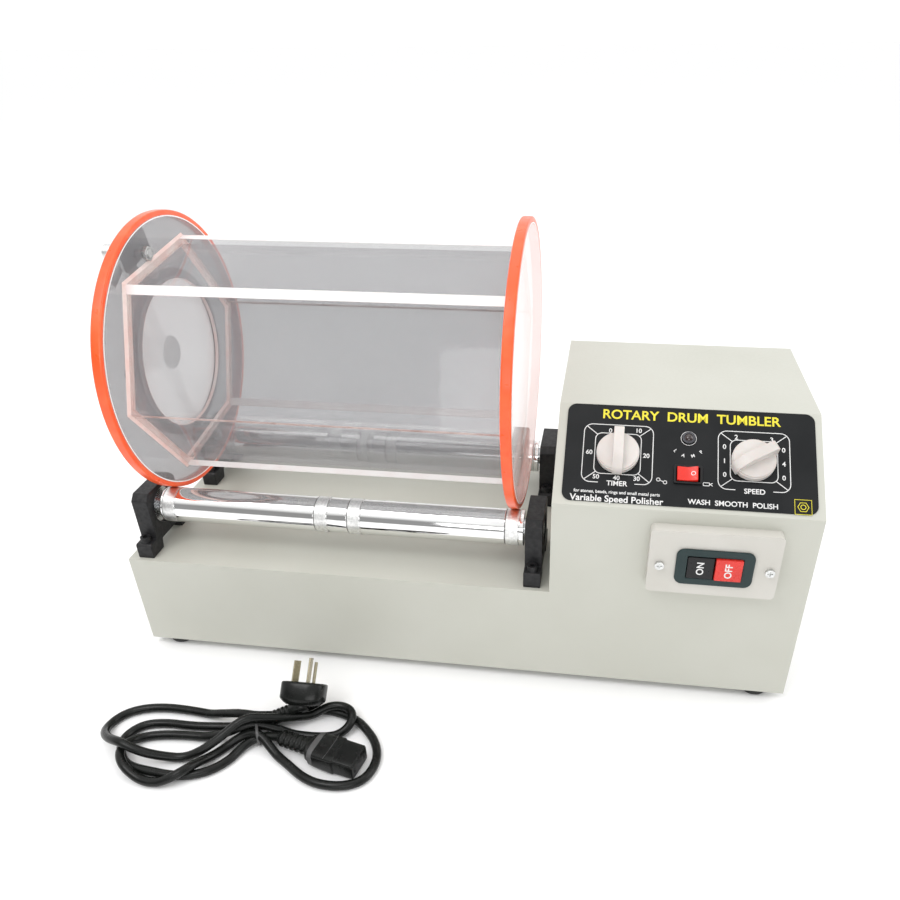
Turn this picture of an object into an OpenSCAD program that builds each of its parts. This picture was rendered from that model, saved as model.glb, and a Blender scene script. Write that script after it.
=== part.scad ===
// Rotary tumbler: a clear six-sided barrel between two rimmed discs, turned by two
// chromed rollers on a sheet-metal base with a control box at its right-hand end.
// Frame: origin on the table under the drum's axis, half-way along the housing;
// +X runs along the machine towards the control box, the operator stands at -Y, +Z is up.

/* [Housing] */
// Length of the housing along X
body_l = 560; // [540:1:600]
// Depth of the housing along Y
body_d = 206; // [200:1:220]
// Distance from the housing's front face to the drum's axis
front_to_axis = 100; // [98:1:104]
// Height of the deck above the table
deck_h = 96; // [90:1:105]
// Length of the control box along X
box_l = 197; // [195:1:205]
// Height above the table at which the box's front face starts to slope back
kink_h = 180; // [176:1:190]
// Height of the control box above the table
top_h = 231; // [226:1:240]
// Horizontal run of the sloping control panel
slope_run = 69; // [66:1:74]
// Thickness of the folded sheet
sheet = 1.5; // [1:0.1:2]
// Height of the rubber feet
foot_h = 8; // [6:0.5:10]

/* [Rollers] */
// Outer diameter of a roller
roller_d = 30; // [28:0.5:30]
// Distance between the two roller axes
roller_gap = 124; // [120:1:128]
// Height of the roller axes above the deck
roller_rise = 35; // [34:0.5:37]
// Length of a roller's barrel
roller_l = 313; // [305:1:314]
// Diameter of the roller shafts
shaft_d = 15; // [12:0.5:16]
// Width of a knurled grip band on a roller
band_w = 10; // [8:1:12]

/* [Bearing blocks] */
// Thickness of a bearing block along X
block_t = 14; // [13:0.5:16]
// Width of a bearing block above its feet
block_w = 47.5; // [46:0.5:50]
// Width of a bearing block over its feet
block_foot_w = 69; // [66:1:72]
// Height of a bearing block
block_h = 55.4; // [54:0.2:57]
// Outer diameter of a bearing
bearing_d = 32; // [28:1:32]

/* [Drum] */
// Outer diameter over the coloured rims
rim_d = 231; // [226:1:231]
// Thickness of a rim outside its disc
rim_t = 4; // [3:0.5:5]
// Thickness of a disc
disc_t = 8; // [6:0.5:8]
// X of the left disc's outer face
drum_x0 = -251.5; // [-252:0.5:-250]
// X of the right disc's outer face
drum_x1 = 54.5; // [50:0.5:55]
// Distance from the drum's axis to the barrel's corners
hex_r = 97; // [92:0.5:98]
// Angle by which the barrel's top corner lies behind the drum's axis
hex_tilt = 22.2; // [0:0.1:30]
// Thickness of a barrel panel
panel_t = 6; // [5:0.5:8]
// Radius of the filling port
port_r = 62; // [55:1:62]

/* [Lid clamp] */
// Radius at which the clamp's posts stand
post_r = 92; // [91:0.5:93]
// Angle of the hinged post, anticlockwise from +Y towards +Z
post_angle = 103.3; // [95:0.1:110]
// Width of the clamp bar
bar_w = 14; // [12:1:16]
// Reach of the clamp knob's arms
knob_reach = 37; // [30:1:38]

/* [Control panel] */
// Width of the control label
label_w = 185; // [180:1:186]
// Height of the control label, up the slope
label_h = 81.4; // [78:0.2:82]
// Diameter of the timer knob and the speed knob
dial_d = 32; // [28:1:34]

/* [Drive] */
// Outer diameter of the driven pulley
driven_d = 60; // [56:1:62]
// Outer diameter of the motor pulley
motor_pulley_d = 25; // [24:0.5:27]
// Diameter of the motor
motor_d = 88; // [80:1:90]

/* [Mains lead] */
// Diameter of the lead
cord_d = 7; // [6:0.5:8]

/* [Hidden] */
$fn = 96;

ivory = [0.84, 0.84, 0.80];
black = [0.07, 0.07, 0.08];
steel = [0.75, 0.76, 0.78];
orange = [1.0, 0.35, 0.14];
clear = [0.85, 0.87, 0.9, 0.35];
cream = [0.93, 0.90, 0.85];

// Housing
x_left = -body_l / 2;
x_right = body_l / 2;
y_front = -front_to_axis;
y_rear = y_front + body_d;
box_x = x_right - box_l;
slope = atan((top_h - kink_h) / slope_run);
foot_inset_x = 22;
foot_inset_y = 14;
foot_r = 12.5;

// Rear panel of the control box
rear_l = 175;
rear_h = 203;
rear_x = (box_x + x_right) / 2;
rear_z = foot_h + (top_h - foot_h) / 2;
rear_lip = 6;
rear_out = y_rear + sheet;
pan_r = 3.5;
pan_h = 2.4;
screw_r = 1.9;

// Rollers and bearings
roller_r = roller_d / 2;
shaft_r = shaft_d / 2;
roller_x0 = drum_x0 - 2.5;
roller_x1 = roller_x0 + roller_l;
roller_z = deck_h + roller_rise;
roller_ys = [-roller_gap / 2, roller_gap / 2];
roller_wall = 3;
roller_plug = 12;
groove_w = 1;
groove_depth = 0.5;
band_starts = [roller_x0 + 1.5, roller_x0 + 136.5, roller_x0 + 165, roller_x1 - 15.5];
block_xs = [x_left + 8, box_x - 7.5 - block_t];
bearing_r = bearing_d / 2;
bearing_w = 9;
bearing_lip = 2.5;
inner_ring_r = 9.65;
shield_r = 9.7;
shield_t = 1;
race_r = 13.4;
block_foot_h = 13.5;
block_chamfer = 5;
block_arch_h = 8.8;
block_arch_w = 34;
block_screw_y = 28.6;

// Drum
rim_r = rim_d / 2;
disc_r = rim_r - rim_t;
rim_gap = 0.3;
drum_z = roller_z + sqrt(pow(rim_r + roller_r + rim_gap, 2) - pow(roller_gap / 2, 2));
barrel_x0 = drum_x0 + disc_t;
barrel_x1 = drum_x1 - disc_t;
hex_inner_r = hex_r - panel_t / cos(30);
rim_chamfer = 0.8;

// Lid, from the ledge in the port outwards to the knob
ledge_t = 3;
gasket_t = 2;
lid_t = 6;
lid_r = port_r + 8;
recess_r = lid_r + 0.6;
gasket_x = drum_x0 + disc_t - ledge_t - gasket_t;
lid_x = gasket_x - lid_t;
pad_t = 2.5;
pad_r = 14;
pad_x = lid_x - pad_t;
pad_travel = 2.5;
bar_t = 5;
bar_x = pad_x - pad_travel - bar_t;
boss_t = 6;
boss_r = 9;
clamp_screw_r = 4;
running = 0.05;
knob_t = 7.6;
knob_gap = 1.8;
knob_x = bar_x - boss_t - knob_gap - knob_t;
knob_hub_r = 13;
knob_arm_w = 15;
knob_first_arm = 80;
plate_t = 2.5;
plate_l = 42;
plate_w = 20;
post_head_r = 6.5;
post_head_l = 11.5;
pivot_r = 4;
post_bolt_r = 3;
post_bolt_out = 4;
post_nut_t = 3.4;
post_nut_r = 5.8;
bar_end = 8;
slot_half = 4.8;
peg_r = 4.5;
peg_neck_r = 2.4;
peg_start = 7.6;
peg_l = 34;
peg_angle = 212;

// Control panel, in its own plane: X along the machine, Y up the slope
label_t = 0.8;
label_x = x_right - 5.2 - label_w / 2;
label_y = 3.5 + label_h / 2;
timer_pos = [x_right - 150.3, 43];
speed_pos = [x_right - 50.8, 43];
lamp_pos = [x_right - 97.8, 59.4];
rocker_pos = [x_right - 97.8, 29.1];
dial_hole_r = 6;
timer_depth = 30;
lamp_r = 4.8;
lamp_hole_r = 3.6;
lens_r = 3.2;
rocker_w = 21;
rocker_h = 15;
rocker_hole_w = 18.8;
rocker_hole_h = 12.8;
rocker_cap_w = 16.4;
rocker_cap_h = 10.8;
rocker_depth = 16;
rocker_tilt = 7;
rocker_axis_z = -1;
rocker_pin_r = 1.2;
dial_t = 5.5;
dial_gap = 0.7;
grip_w = 7.4;
grip_h = 12;
spindle_r = 3;
spindle_l = 11;

// Push-switch cover on the front face
cover_w = 95.6;
cover_h = 56;
cover_out = 10;
cover_x = x_right - 74.8;
cover_z = 141;
cover_wall = 2;
bezel_w = 57;
bezel_h = 31.6;
bezel_z = 139;
bezel_x = x_right - 74;
bezel_t = 2;
button_w = 19.6;
button_h = 19;
button_gap = 0.8;
button_travel = 3;
push_w = 50;
push_h = 26;
push_depth = 34;
cover_screw_dx = 40.2;
cover_screw_z = 138.3;

// Drive
pulley_x0 = box_x + 15;
pulley_w = 14;
driven_r = driven_d / 2;
motor_pulley_r = motor_pulley_d / 2;
groove_deep = 4.5;
belt_t = 4;
belt_w = 8;
belt_gap = 0.3;
motor_r = motor_d / 2;
motor_y = 18;
motor_z = 62;
motor_shaft_r = 5;
bracket_x = pulley_x0 + 20;
bracket_t = 4;
motor_l = 100;
motor_bore_l = 22;
motor_screw_r = 2.5;
motor_screw_pcd_r = 32;
rear_shaft_end = pulley_x0 + pulley_w + 3;
wall_hole_r = 11;

// Mains inlet on the rear panel
inlet_pos = [x_right - 45, 48];
inlet_cav_w = 24.6;
inlet_cav_h = 17;
inlet_wall = 1.8;
inlet_depth = 18;
inlet_flange = [48, 2, 25];

// Mains lead: centre lines of its loose stretches, lying on the table
cord_r = cord_d / 2;
loop_route = [[-64.5, -171], [-55, -179], [-46, -189], [-40, -202], [-40, -216], [-46, -228],
    [-60, -234], [-78, -234], [-92, -229], [-106, -220], [-119, -212], [-130, -204]];
plug_route = [[-138.5, -183.3, 11], [-134.8, -182.2, 11.6], [-131, -181, 12.2]];
connector_route = [[-131.7, -197.7, 8], [-126, -198.4, 8.2], [-120, -199, 8.5]];
tube_sides = 10;
hank_h = 21;
strip_h = 8;
neck_pos = [-140.5, -193];
neck_angle = 25;
neck_w = 25;
neck_z = [1, 15];
tie_t = 1;
tie_w = 2.4;
connector_tail = [-120, -199, 8.5];
connector_mouth = [-50, -215, 8.5];
relief_l = 28;
mouth_l = 17;
plug_base = [-110, -172, 17];
plug_lean = 45;

// ---------- shared shapes ----------

module x_rod(x0, x1, r, y = 0, z = 0) {
    translate([x0, y, z])
        rotate([0, 90, 0])
            cylinder(h = x1 - x0, r = r);
}

module y_rod(y0, y1, r, x = 0, z = 0) {
    translate([x, y1, z])
        rotate([90, 0, 0])
            cylinder(h = y1 - y0, r = r);
}

// Turns a profile drawn as (radius, distance along the axis) about an axis along +X
module x_turned(x0, y, z) {
    translate([x0, y, z])
        rotate([0, 90, 0])
            rotate_extrude()
                children();
}

// Extrudes a (Y, Z) outline along +X
module x_prism(x0, length) {
    translate([x0, 0, 0])
        rotate([90, 0, 90])
            linear_extrude(height = length)
                children();
}

module rounded_rect(w, h, r) {
    square([w - 2 * r, h], center = true);
    square([w, h - 2 * r], center = true);
    for (sx = [-1, 1])
        for (sy = [-1, 1])
            translate([sx * (w / 2 - r), sy * (h / 2 - r)])
                circle(r = r, $fn = 48);
}

module on_panel(pos = [0, 0]) {
    translate([0, y_front, kink_h])
        rotate([slope, 0, 0])
            translate([pos[0], pos[1], 0])
                children();
}

module on_drum(radius, angle) {
    translate([0, radius * cos(angle), drum_z + radius * sin(angle)])
        rotate([angle - 90, 0, 0])
            children();
}

// A closed tube swept along a list of points, one ring of corners at each point; ref is any
// direction that the tube never runs in
module swept_tube(points, r, sides, ref = [0, 0, 1]) {
    n = len(points);
    function heading(i) = points[min(i + 1, n - 1)] - points[max(i - 1, 0)];
    function across(i) = cross(ref, heading(i)) / norm(cross(ref, heading(i)));
    function above(i) = cross(heading(i), across(i)) / norm(cross(heading(i), across(i)));
    rings = [for (i = [0 : n - 1]) for (k = [0 : sides - 1])
        points[i] + r * (cos(360 * k / sides) * across(i) + sin(360 * k / sides) * above(i))];
    side_faces = [for (i = [0 : n - 2]) for (k = [0 : sides - 1])
        [i * sides + k, i * sides + (k + 1) % sides,
            (i + 1) * sides + (k + 1) % sides, (i + 1) * sides + k]];
    ends = [[for (k = [sides - 1 : -1 : 0]) k], [for (k = [0 : sides - 1]) (n - 1) * sides + k]];
    polyhedron(points = rings, faces = concat(side_faces, ends), convexity = 4);
}

module wire(points) {
    swept_tube(points, 1.6, 8, [0.6, 0.3, 0.74]);
}

module hex_nut(r, h, bore) {
    difference() {
        cylinder(h = h, r = r, $fn = 6);
        translate([0, 0, -1])
            cylinder(h = h + 2, r = bore);
    }
}

// ---------- housing ----------

module box_outline(inset) {
    drop = inset / cos(slope) - inset * tan(slope);
    run = (top_h - kink_h - inset + inset / cos(slope)) / tan(slope);
    polygon([
        [y_front + inset, foot_h - inset],
        [y_front + inset, kink_h - drop],
        [y_front + run, top_h - inset],
        [y_rear - inset, top_h - inset],
        [y_rear - inset, foot_h - inset]
    ]);
}

module panel_holes(depth) {
    on_panel() {
        for (pos = [timer_pos, speed_pos])
            translate([pos[0], pos[1], -depth])
                cylinder(h = 2 * depth, r = dial_hole_r);
        translate([lamp_pos[0], lamp_pos[1], -depth])
            cylinder(h = 2 * depth, r = lamp_hole_r);
        translate([rocker_pos[0], rocker_pos[1], 0])
            cube([rocker_hole_w, rocker_hole_h, 2 * depth], center = true);
    }
}

module block_bolt_places() {
    for (x = block_xs)
        for (y = roller_ys)
            for (side = [-1, 1])
                translate([x + block_t / 2, y + side * block_screw_y, deck_h])
                    children();
}

module rear_screw_places() {
    for (sx = [-1, 1])
        for (dz = [-90, 0, 90])
            translate([rear_x + sx * (rear_l / 2 - 4), 0, rear_z + dz])
                children();
}

module cover_screw_places() {
    for (side = [-1, 1])
        translate([bezel_x + side * cover_screw_dx, 0, cover_screw_z])
            children();
}

module inlet_screw_places() {
    for (side = [-1, 1])
        translate([inlet_pos[0] + side * 20, 0, inlet_pos[1]])
            children();
}

module housing_shell() {
    color(ivory)
        difference() {
            union() {
                translate([x_left, y_front, foot_h])
                    cube([body_l, body_d, deck_h - foot_h]);
                x_prism(box_x, box_l)
                    box_outline(0);
            }
            translate([x_left + sheet, y_front + sheet, foot_h - 1])
                cube([body_l - 2 * sheet, body_d - 2 * sheet, deck_h - foot_h - sheet + 1]);
            x_prism(box_x + sheet, box_l - 2 * sheet)
                box_outline(sheet);
            panel_holes(4);
            block_bolt_places()
                translate([0, 0, -4])
                    cylinder(h = 8, r = 2.7);
            x_rod(box_x - 1, box_x + sheet + 1, wall_hole_r, roller_ys[1], roller_z);
            translate([bezel_x - push_w / 2 - 0.5, y_front - 1, bezel_z - push_h / 2 - 0.5])
                cube([push_w + 1, sheet + 2, push_h + 1]);
            cover_screw_places()
                y_rod(y_front - 1, y_front + sheet + 1, screw_r);
            translate([rear_x - rear_l / 2 + rear_lip + 3, y_rear - sheet - 1,
                    rear_z - rear_h / 2 + rear_lip])
                cube([rear_l - 2 * rear_lip - 6, sheet + 2, rear_h - 2 * rear_lip]);
            rear_screw_places()
                y_rod(y_rear - sheet - 1, y_rear + 1, screw_r);
        }
}

module foot_places() {
    for (x = [x_left + foot_inset_x, x_right - foot_inset_x])
        for (y = [y_front + foot_inset_y, y_rear - foot_inset_y])
            translate([x, y, 0])
                children();
}

module bottom_plate() {
    color(ivory)
        difference() {
            translate([x_left + sheet, y_front + sheet, foot_h])
                cube([body_l - 2 * sheet, body_d - 2 * sheet, sheet]);
            foot_places()
                cylinder(h = 20, r = 2.2);
            for (i = [0 : 7])
                translate([-200 + 34 * i, -40, foot_h - 1])
                    cube([4, 80, sheet + 2]);
        }
}

module rear_panel() {
    slot_l = 56;
    color(ivory)
        difference() {
            translate([rear_x - rear_l / 2, y_rear, rear_z - rear_h / 2])
                cube([rear_l, sheet, rear_h]);
            for (side = [-1, 1])
                for (i = [0 : 8])
                    translate([rear_x + side * 37 - slot_l / 2, y_rear - 1, rear_z + 4 + 9 * i])
                        cube([slot_l, sheet + 2, 3.5]);
            rear_screw_places()
                y_rod(y_rear - 1, rear_out + 1, screw_r);
            inlet_screw_places()
                y_rod(y_rear - 1, rear_out + 1, screw_r);
            translate([inlet_pos[0] - inlet_cav_w / 2 - inlet_wall, y_rear - 1,
                    inlet_pos[1] - inlet_cav_h / 2 - inlet_wall])
                cube([inlet_cav_w + 2 * inlet_wall, sheet + 2, inlet_cav_h + 2 * inlet_wall]);
        }
}

// A pan-head screw whose head stands towards -Z from z = 0
module pan_screw(length) {
    difference() {
        union() {
            translate([0, 0, -pan_h])
                cylinder(h = pan_h, r = pan_r);
            cylinder(h = length, r = screw_r);
        }
        for (turn = [0, 90])
            rotate([0, 0, turn])
                translate([-2, -0.4, -pan_h - 1])
                    cube([4, 0.8, 2]);
    }
}

module case_screws() {
    color(steel) {
        rear_screw_places()
            translate([0, rear_out, 0])
                rotate([90, 0, 0])
                    pan_screw(8);
        inlet_screw_places()
            translate([0, rear_out + inlet_flange[1], 0])
                rotate([90, 0, 0])
                    pan_screw(10);
        cover_screw_places()
            translate([0, y_front - cover_out, 0])
                rotate([-90, 0, 0])
                    pan_screw(16);
    }
}

module rubber_feet() {
    tread_r = 8.5;
    color(black)
        foot_places()
            rotate_extrude()
                polygon([[4.6, 0], [tread_r, 0], [tread_r + 2.4, 1], [foot_r - 0.5, 4],
                    [foot_r, foot_h], [2.2, foot_h], [2.2, 4], [4.6, 4]]);
}

module foot_fixings() {
    color(steel)
        foot_places() {
            translate([0, 0, 1.5])
                cylinder(h = 2.5, r = 4);
            translate([0, 0, 4])
                cylinder(h = 10, r = 2);
            translate([0, 0, foot_h + sheet])
                hex_nut(4, 3, 2);
        }
}

// ---------- bearing blocks ----------

module block_outline() {
    w = block_w / 2;
    f = block_foot_w / 2;
    a = block_arch_w / 2;
    polygon([[-f, 0], [-f, block_foot_h - 1.5], [-f + 1.5, block_foot_h], [-w, block_foot_h],
        [-w, block_h - block_chamfer], [-w + block_chamfer, block_h],
        [w - block_chamfer, block_h], [w, block_h - block_chamfer],
        [w, block_foot_h], [f - 1.5, block_foot_h], [f, block_foot_h - 1.5], [f, 0],
        [a, 0], [a - 2, block_arch_h], [2 - a, block_arch_h], [-a, 0]]);
}

// One block with its bore; the lip that holds the bearing is on the outer side
module bearing_block(x, y, outer) {
    lip_x = outer < 0 ? x : x + block_t - bearing_lip;
    bore_x = outer < 0 ? x + bearing_lip : x - 1;
    difference() {
        translate([0, y, deck_h])
            x_prism(x, block_t)
                block_outline();
        x_rod(bore_x, bore_x + block_t - bearing_lip + 1, bearing_r, y, roller_z);
        x_rod(lip_x - 1, lip_x + bearing_lip + 1, bearing_r - 2.5, y, roller_z);
        for (side = [-1, 1])
            translate([x + block_t / 2, y + side * block_screw_y, deck_h - 1])
                cylinder(h = block_foot_h + 2, r = 2.7);
    }
}

module bearing_blocks() {
    color(black)
        for (y = roller_ys) {
            bearing_block(block_xs[0], y, -1);
            bearing_block(block_xs[1], y, 1);
        }
}

module block_fixings() {
    head_h = 5;
    color(black)
        block_bolt_places() {
            difference() {
                union() {
                    translate([0, 0, block_foot_h])
                        cylinder(h = head_h, r = 4.2);
                    translate([0, 0, -10])
                        cylinder(h = block_foot_h + 10, r = 2.5);
                }
                translate([0, 0, block_foot_h + head_h - 2.5])
                    cylinder(h = 3, r = 2.3, $fn = 6);
            }
            translate([0, 0, -sheet - 4])
                hex_nut(4.6, 4, 2.5);
        }
}

function bearing_x(side) = side < 0 ? block_xs[0] + bearing_lip
                                    : block_xs[1] + block_t - bearing_lip - bearing_w;

module bearing_outer_rings() {
    color([0.2, 0.2, 0.21])
        for (y = roller_ys)
            for (side = [-1, 1])
                x_turned(bearing_x(side), y, roller_z)
                    polygon([[shield_r, 0], [bearing_r, 0], [bearing_r, bearing_w],
                        [shield_r, bearing_w], [shield_r, bearing_w - shield_t],
                        [race_r, bearing_w - shield_t], [race_r, shield_t],
                        [shield_r, shield_t]]);
}

// ---------- rollers ----------

// A hollow roller with an end plug at each end and grip bands marked off by grooves
module roller(y) {
    difference() {
        x_rod(roller_x0, roller_x1, roller_r, y, roller_z);
        x_rod(roller_x0 - 1, roller_x1 + 1, shaft_r, y, roller_z);
        x_rod(roller_x0 + roller_plug, roller_x1 - roller_plug, roller_r - roller_wall, y, roller_z);
        for (start = band_starts)
            for (x = [start, start + band_w + groove_w])
                difference() {
                    x_rod(x, x + groove_w, roller_r + 1, y, roller_z);
                    x_rod(x - 1, x + groove_w + 1, roller_r - groove_depth, y, roller_z);
                }
    }
}

module inner_rings(y) {
    for (side = [-1, 1])
        difference() {
            x_rod(bearing_x(side), bearing_x(side) + bearing_w, inner_ring_r, y, roller_z);
            x_rod(bearing_x(side) - 1, bearing_x(side) + bearing_w + 1, shaft_r, y, roller_z);
        }
}

module front_roller() {
    color([0.85, 0.87, 0.9])
        roller(roller_ys[0]);
}

module front_shaft() {
    color(steel)
        x_rod(block_xs[0] + 1, block_xs[1] + block_t - 1, shaft_r, roller_ys[0], roller_z);
}

module front_inner_rings() {
    color(steel)
        inner_rings(roller_ys[0]);
}

module rear_roller() {
    color([0.85, 0.87, 0.9])
        roller(roller_ys[1]);
}

module rear_shaft() {
    color(steel)
        x_rod(block_xs[0] + 1, rear_shaft_end, shaft_r, roller_ys[1], roller_z);
}

module rear_inner_rings() {
    color(steel)
        inner_rings(roller_ys[1]);
}

// ---------- drive ----------

module pulley(outer_r, bore_r, y, z) {
    flange = (pulley_w - belt_w) / 2 - 0.6;
    root_r = outer_r - groove_deep;
    x_turned(pulley_x0, y, z)
        polygon([[bore_r, 0], [outer_r, 0], [outer_r, flange], [root_r, flange],
            [root_r, pulley_w - flange], [outer_r, pulley_w - flange],
            [outer_r, pulley_w], [bore_r, pulley_w]]);
}

module driven_pulley() {
    color([0.6, 0.62, 0.65])
        pulley(driven_r, shaft_r, roller_ys[1], roller_z);
}

module motor_pulley() {
    color([0.6, 0.62, 0.65])
        pulley(motor_pulley_r, motor_shaft_r, motor_y, motor_z);
}

// The outline that a belt makes round both pulleys at a given height above their grooves
module belt_outline(extra) {
    c1 = [roller_ys[1], roller_z];
    c2 = [motor_y, motor_z];
    r1 = driven_r - groove_deep + extra;
    r2 = motor_pulley_r - groove_deep + extra;
    d = c1 - c2;
    span = norm(d);
    heading = atan2(d[1], d[0]);
    spread = acos((r1 - r2) / span);
    function rim_point(c, r, side) =
        c + r * [cos(heading + side * spread), sin(heading + side * spread)];
    translate(c1)
        circle(r = r1);
    translate(c2)
        circle(r = r2);
    polygon([rim_point(c1, r1, 1), rim_point(c2, r2, 1), rim_point(c2, r2, -1),
        rim_point(c1, r1, -1)]);
}

module drive_belt() {
    color(black)
        x_prism(pulley_x0 + (pulley_w - belt_w) / 2, belt_w)
            difference() {
                belt_outline(belt_gap + belt_t);
                belt_outline(belt_gap);
            }
}

module motor_shaft() {
    color(steel)
        x_rod(pulley_x0 - 2, bracket_x + bracket_t + motor_bore_l - 1, motor_shaft_r, motor_y, motor_z);
}

module motor_body() {
    face = bracket_x + bracket_t;
    color([0.35, 0.37, 0.4])
        difference() {
            union() {
                x_rod(face, face + motor_l, motor_r, motor_y, motor_z);
                x_rod(face + motor_l, face + motor_l + 6, motor_r - 6, motor_y, motor_z);
                x_rod(face - bracket_t, face, 13, motor_y, motor_z);
            }
            x_rod(face - bracket_t - 1, face + motor_bore_l, motor_shaft_r + running,
                motor_y, motor_z);
            motor_screw_places()
                x_rod(face - 1, face + 10, motor_screw_r);
        }
}

module motor_screw_places() {
    for (i = [0 : 3])
        translate([0, motor_y + motor_screw_pcd_r * cos(45 + 90 * i),
                motor_z + motor_screw_pcd_r * sin(45 + 90 * i)])
            children();
}

module motor_bracket() {
    base_z = foot_h + sheet;
    color([0.5, 0.52, 0.55])
        difference() {
            union() {
                translate([bracket_x, motor_y - 46, base_z])
                    cube([bracket_t, 92, 98]);
                translate([bracket_x + bracket_t, motor_y - 46, base_z])
                    cube([60, 92, 3]);
            }
            x_rod(bracket_x - 1, bracket_x + bracket_t + 1, 13.3, motor_y, motor_z);
            motor_screw_places()
                x_rod(bracket_x - 1, bracket_x + bracket_t + 1, motor_screw_r + 0.2);
        }
}

module motor_screws() {
    color(steel)
        motor_screw_places() {
            x_rod(bracket_x - 3, bracket_x, 4.2);
            x_rod(bracket_x, bracket_x + bracket_t + 8, motor_screw_r);
        }
}

module speed_transformer() {
    color([0.45, 0.35, 0.2])
        translate([x_right - 90, y_front + 10, foot_h + sheet]) {
            cube([60, 42, 16]);
            translate([0, 0, 16])
                cube([12, 42, 22]);
            translate([48, 0, 16])
                cube([12, 42, 22]);
            translate([0, 0, 38])
                cube([60, 42, 12]);
            translate([12, -4, 16])
                cube([36, 50, 22]);
        }
}

function panel_point(x, y, z) = [x, y_front + y * cos(slope) - z * sin(slope),
    kink_h + y * sin(slope) + z * cos(slope)];

// Wires from the inlet to the push switch, on to the transformer and the motor, and from
// the transformer to the timer
module wiring_harness() {
    switch_back = y_front - cover_out + push_depth;
    pin_end = rear_out - inlet_depth - 6;
    transformer_top = foot_h + sheet + 50;
    timer_back = -sheet - timer_depth;
    motor_end = bracket_x + bracket_t + motor_l + 6;
    color([0.15, 0.25, 0.55]) {
        for (side = [-1, 1]) {
            pin_x = inlet_pos[0] + side * 7;
            switch_x = bezel_x + 12 + side * 6;
            wire([[pin_x, pin_end, inlet_pos[1] - 2.5], [pin_x, pin_end - 8, inlet_pos[1] - 2.5],
                [pin_x, 66, inlet_pos[1] + 10], [pin_x, 40, bezel_z - 10],
                [switch_x, switch_back + 30, bezel_z], [switch_x, switch_back + 8, bezel_z],
                [switch_x, switch_back, bezel_z]]);
        }
        wire([[bezel_x - 15, switch_back, bezel_z], [bezel_x - 15, switch_back + 8, bezel_z],
            [bezel_x - 12, switch_back + 16, bezel_z - 14],
            [bezel_x - 5, y_front + 32, transformer_top + 20],
            [bezel_x - 5, y_front + 32, transformer_top + 8],
            [bezel_x - 5, y_front + 32, transformer_top]]);
        wire([panel_point(timer_pos[0] + 8, timer_pos[1], timer_back),
            panel_point(timer_pos[0] + 8, timer_pos[1], timer_back - 8),
            panel_point(timer_pos[0] + 12, timer_pos[1], timer_back - 20),
            [x_right - 80, y_front + 30, transformer_top + 40],
            [x_right - 80, y_front + 30, transformer_top + 8],
            [x_right - 80, y_front + 30, transformer_top]]);
        wire([[x_right - 42, y_front + 40, transformer_top],
            [x_right - 42, y_front + 40, transformer_top + 8],
            [x_right - 40, motor_y - 30, motor_z + 20], [motor_end + 10, motor_y, motor_z + 20],
            [motor_end + 4, motor_y, motor_z + 20], [motor_end, motor_y, motor_z + 20]]);
    }
}

// ---------- control panel ----------

module control_label() {
    color([0.09, 0.09, 0.1])
        difference() {
            on_panel([label_x, label_y])
                linear_extrude(height = label_t)
                    rounded_rect(label_w, label_h, 7);
            panel_holes(4);
        }
}

module lamp_bezel() {
    color(steel)
        on_panel(lamp_pos)
            difference() {
                union() {
                    translate([0, 0, label_t])
                        cylinder(h = 2, r = lamp_r);
                    translate([0, 0, -14])
                        cylinder(h = 14 + label_t, r = lamp_hole_r);
                }
                translate([0, 0, -10])
                    cylinder(h = 20, r = lens_r);
            }
}

module lamp_lens() {
    color([0.25, 0.05, 0.05])
        on_panel(lamp_pos) {
            translate([0, 0, -9])
                cylinder(h = 11.5, r = lens_r);
            translate([0, 0, 2.5])
                intersection() {
                    translate([0, 0, -2.4])
                        sphere(r = 4);
                    cylinder(h = 3, r = lens_r);
                }
        }
}

module rocker_frame() {
    color(black)
        on_panel(rocker_pos)
            difference() {
                union() {
                    translate([0, 0, label_t])
                        linear_extrude(height = 2)
                            rounded_rect(rocker_w, rocker_h, 1.5);
                    translate([-rocker_hole_w / 2, -rocker_hole_h / 2, -rocker_depth])
                        cube([rocker_hole_w, rocker_hole_h, rocker_depth + label_t]);
                }
                translate([-rocker_cap_w / 2 - 0.4, -rocker_cap_h / 2 - 0.4, 2 - rocker_depth])
                    cube([rocker_cap_w + 0.8, rocker_cap_h + 0.8, 2 * rocker_depth]);
                y_rod(-rocker_hole_h, rocker_hole_h, rocker_pin_r + running, 0, rocker_axis_z);
            }
}

// The rocker's two finger faces meet in a shallow valley over its pivot
module rocker_button() {
    half = rocker_cap_w / 2;
    color([0.85, 0.1, 0.06])
        on_panel(rocker_pos)
            translate([0, 0, rocker_axis_z])
                rotate([0, -rocker_tilt, 0]) {
                    translate([0, rocker_cap_h / 2, 0])
                        rotate([90, 0, 0])
                            linear_extrude(height = rocker_cap_h)
                                polygon([[-half + 1, 6.2], [0, 4.4], [half - 1, 6.2],
                                    [half - 0.6, 5.6], [half - 1.4, -1], [3, -5], [-3, -5],
                                    [1.4 - half, -1], [0.6 - half, 5.6]]);
                    y_rod(-rocker_cap_h / 2 - 0.8, rocker_cap_h / 2 + 0.8, rocker_pin_r);
                }
}

module selector_body(pos, w, depth) {
    on_panel(pos)
        difference() {
            union() {
                translate([-w / 2, -w / 2, -sheet - depth])
                    cube([w, w, depth]);
                translate([0, 0, -sheet])
                    cylinder(h = sheet + label_t, r = dial_hole_r - 0.2);
            }
            translate([0, 0, -spindle_l - 1])
                cylinder(h = spindle_l + 5, r = spindle_r + running);
        }
}

module timer_body() {
    color([0.8, 0.8, 0.78])
        selector_body(timer_pos, 44, timer_depth);
}

module speed_switch_body() {
    color([0.25, 0.25, 0.27])
        selector_body(speed_pos, 36, 26);
}

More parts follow.
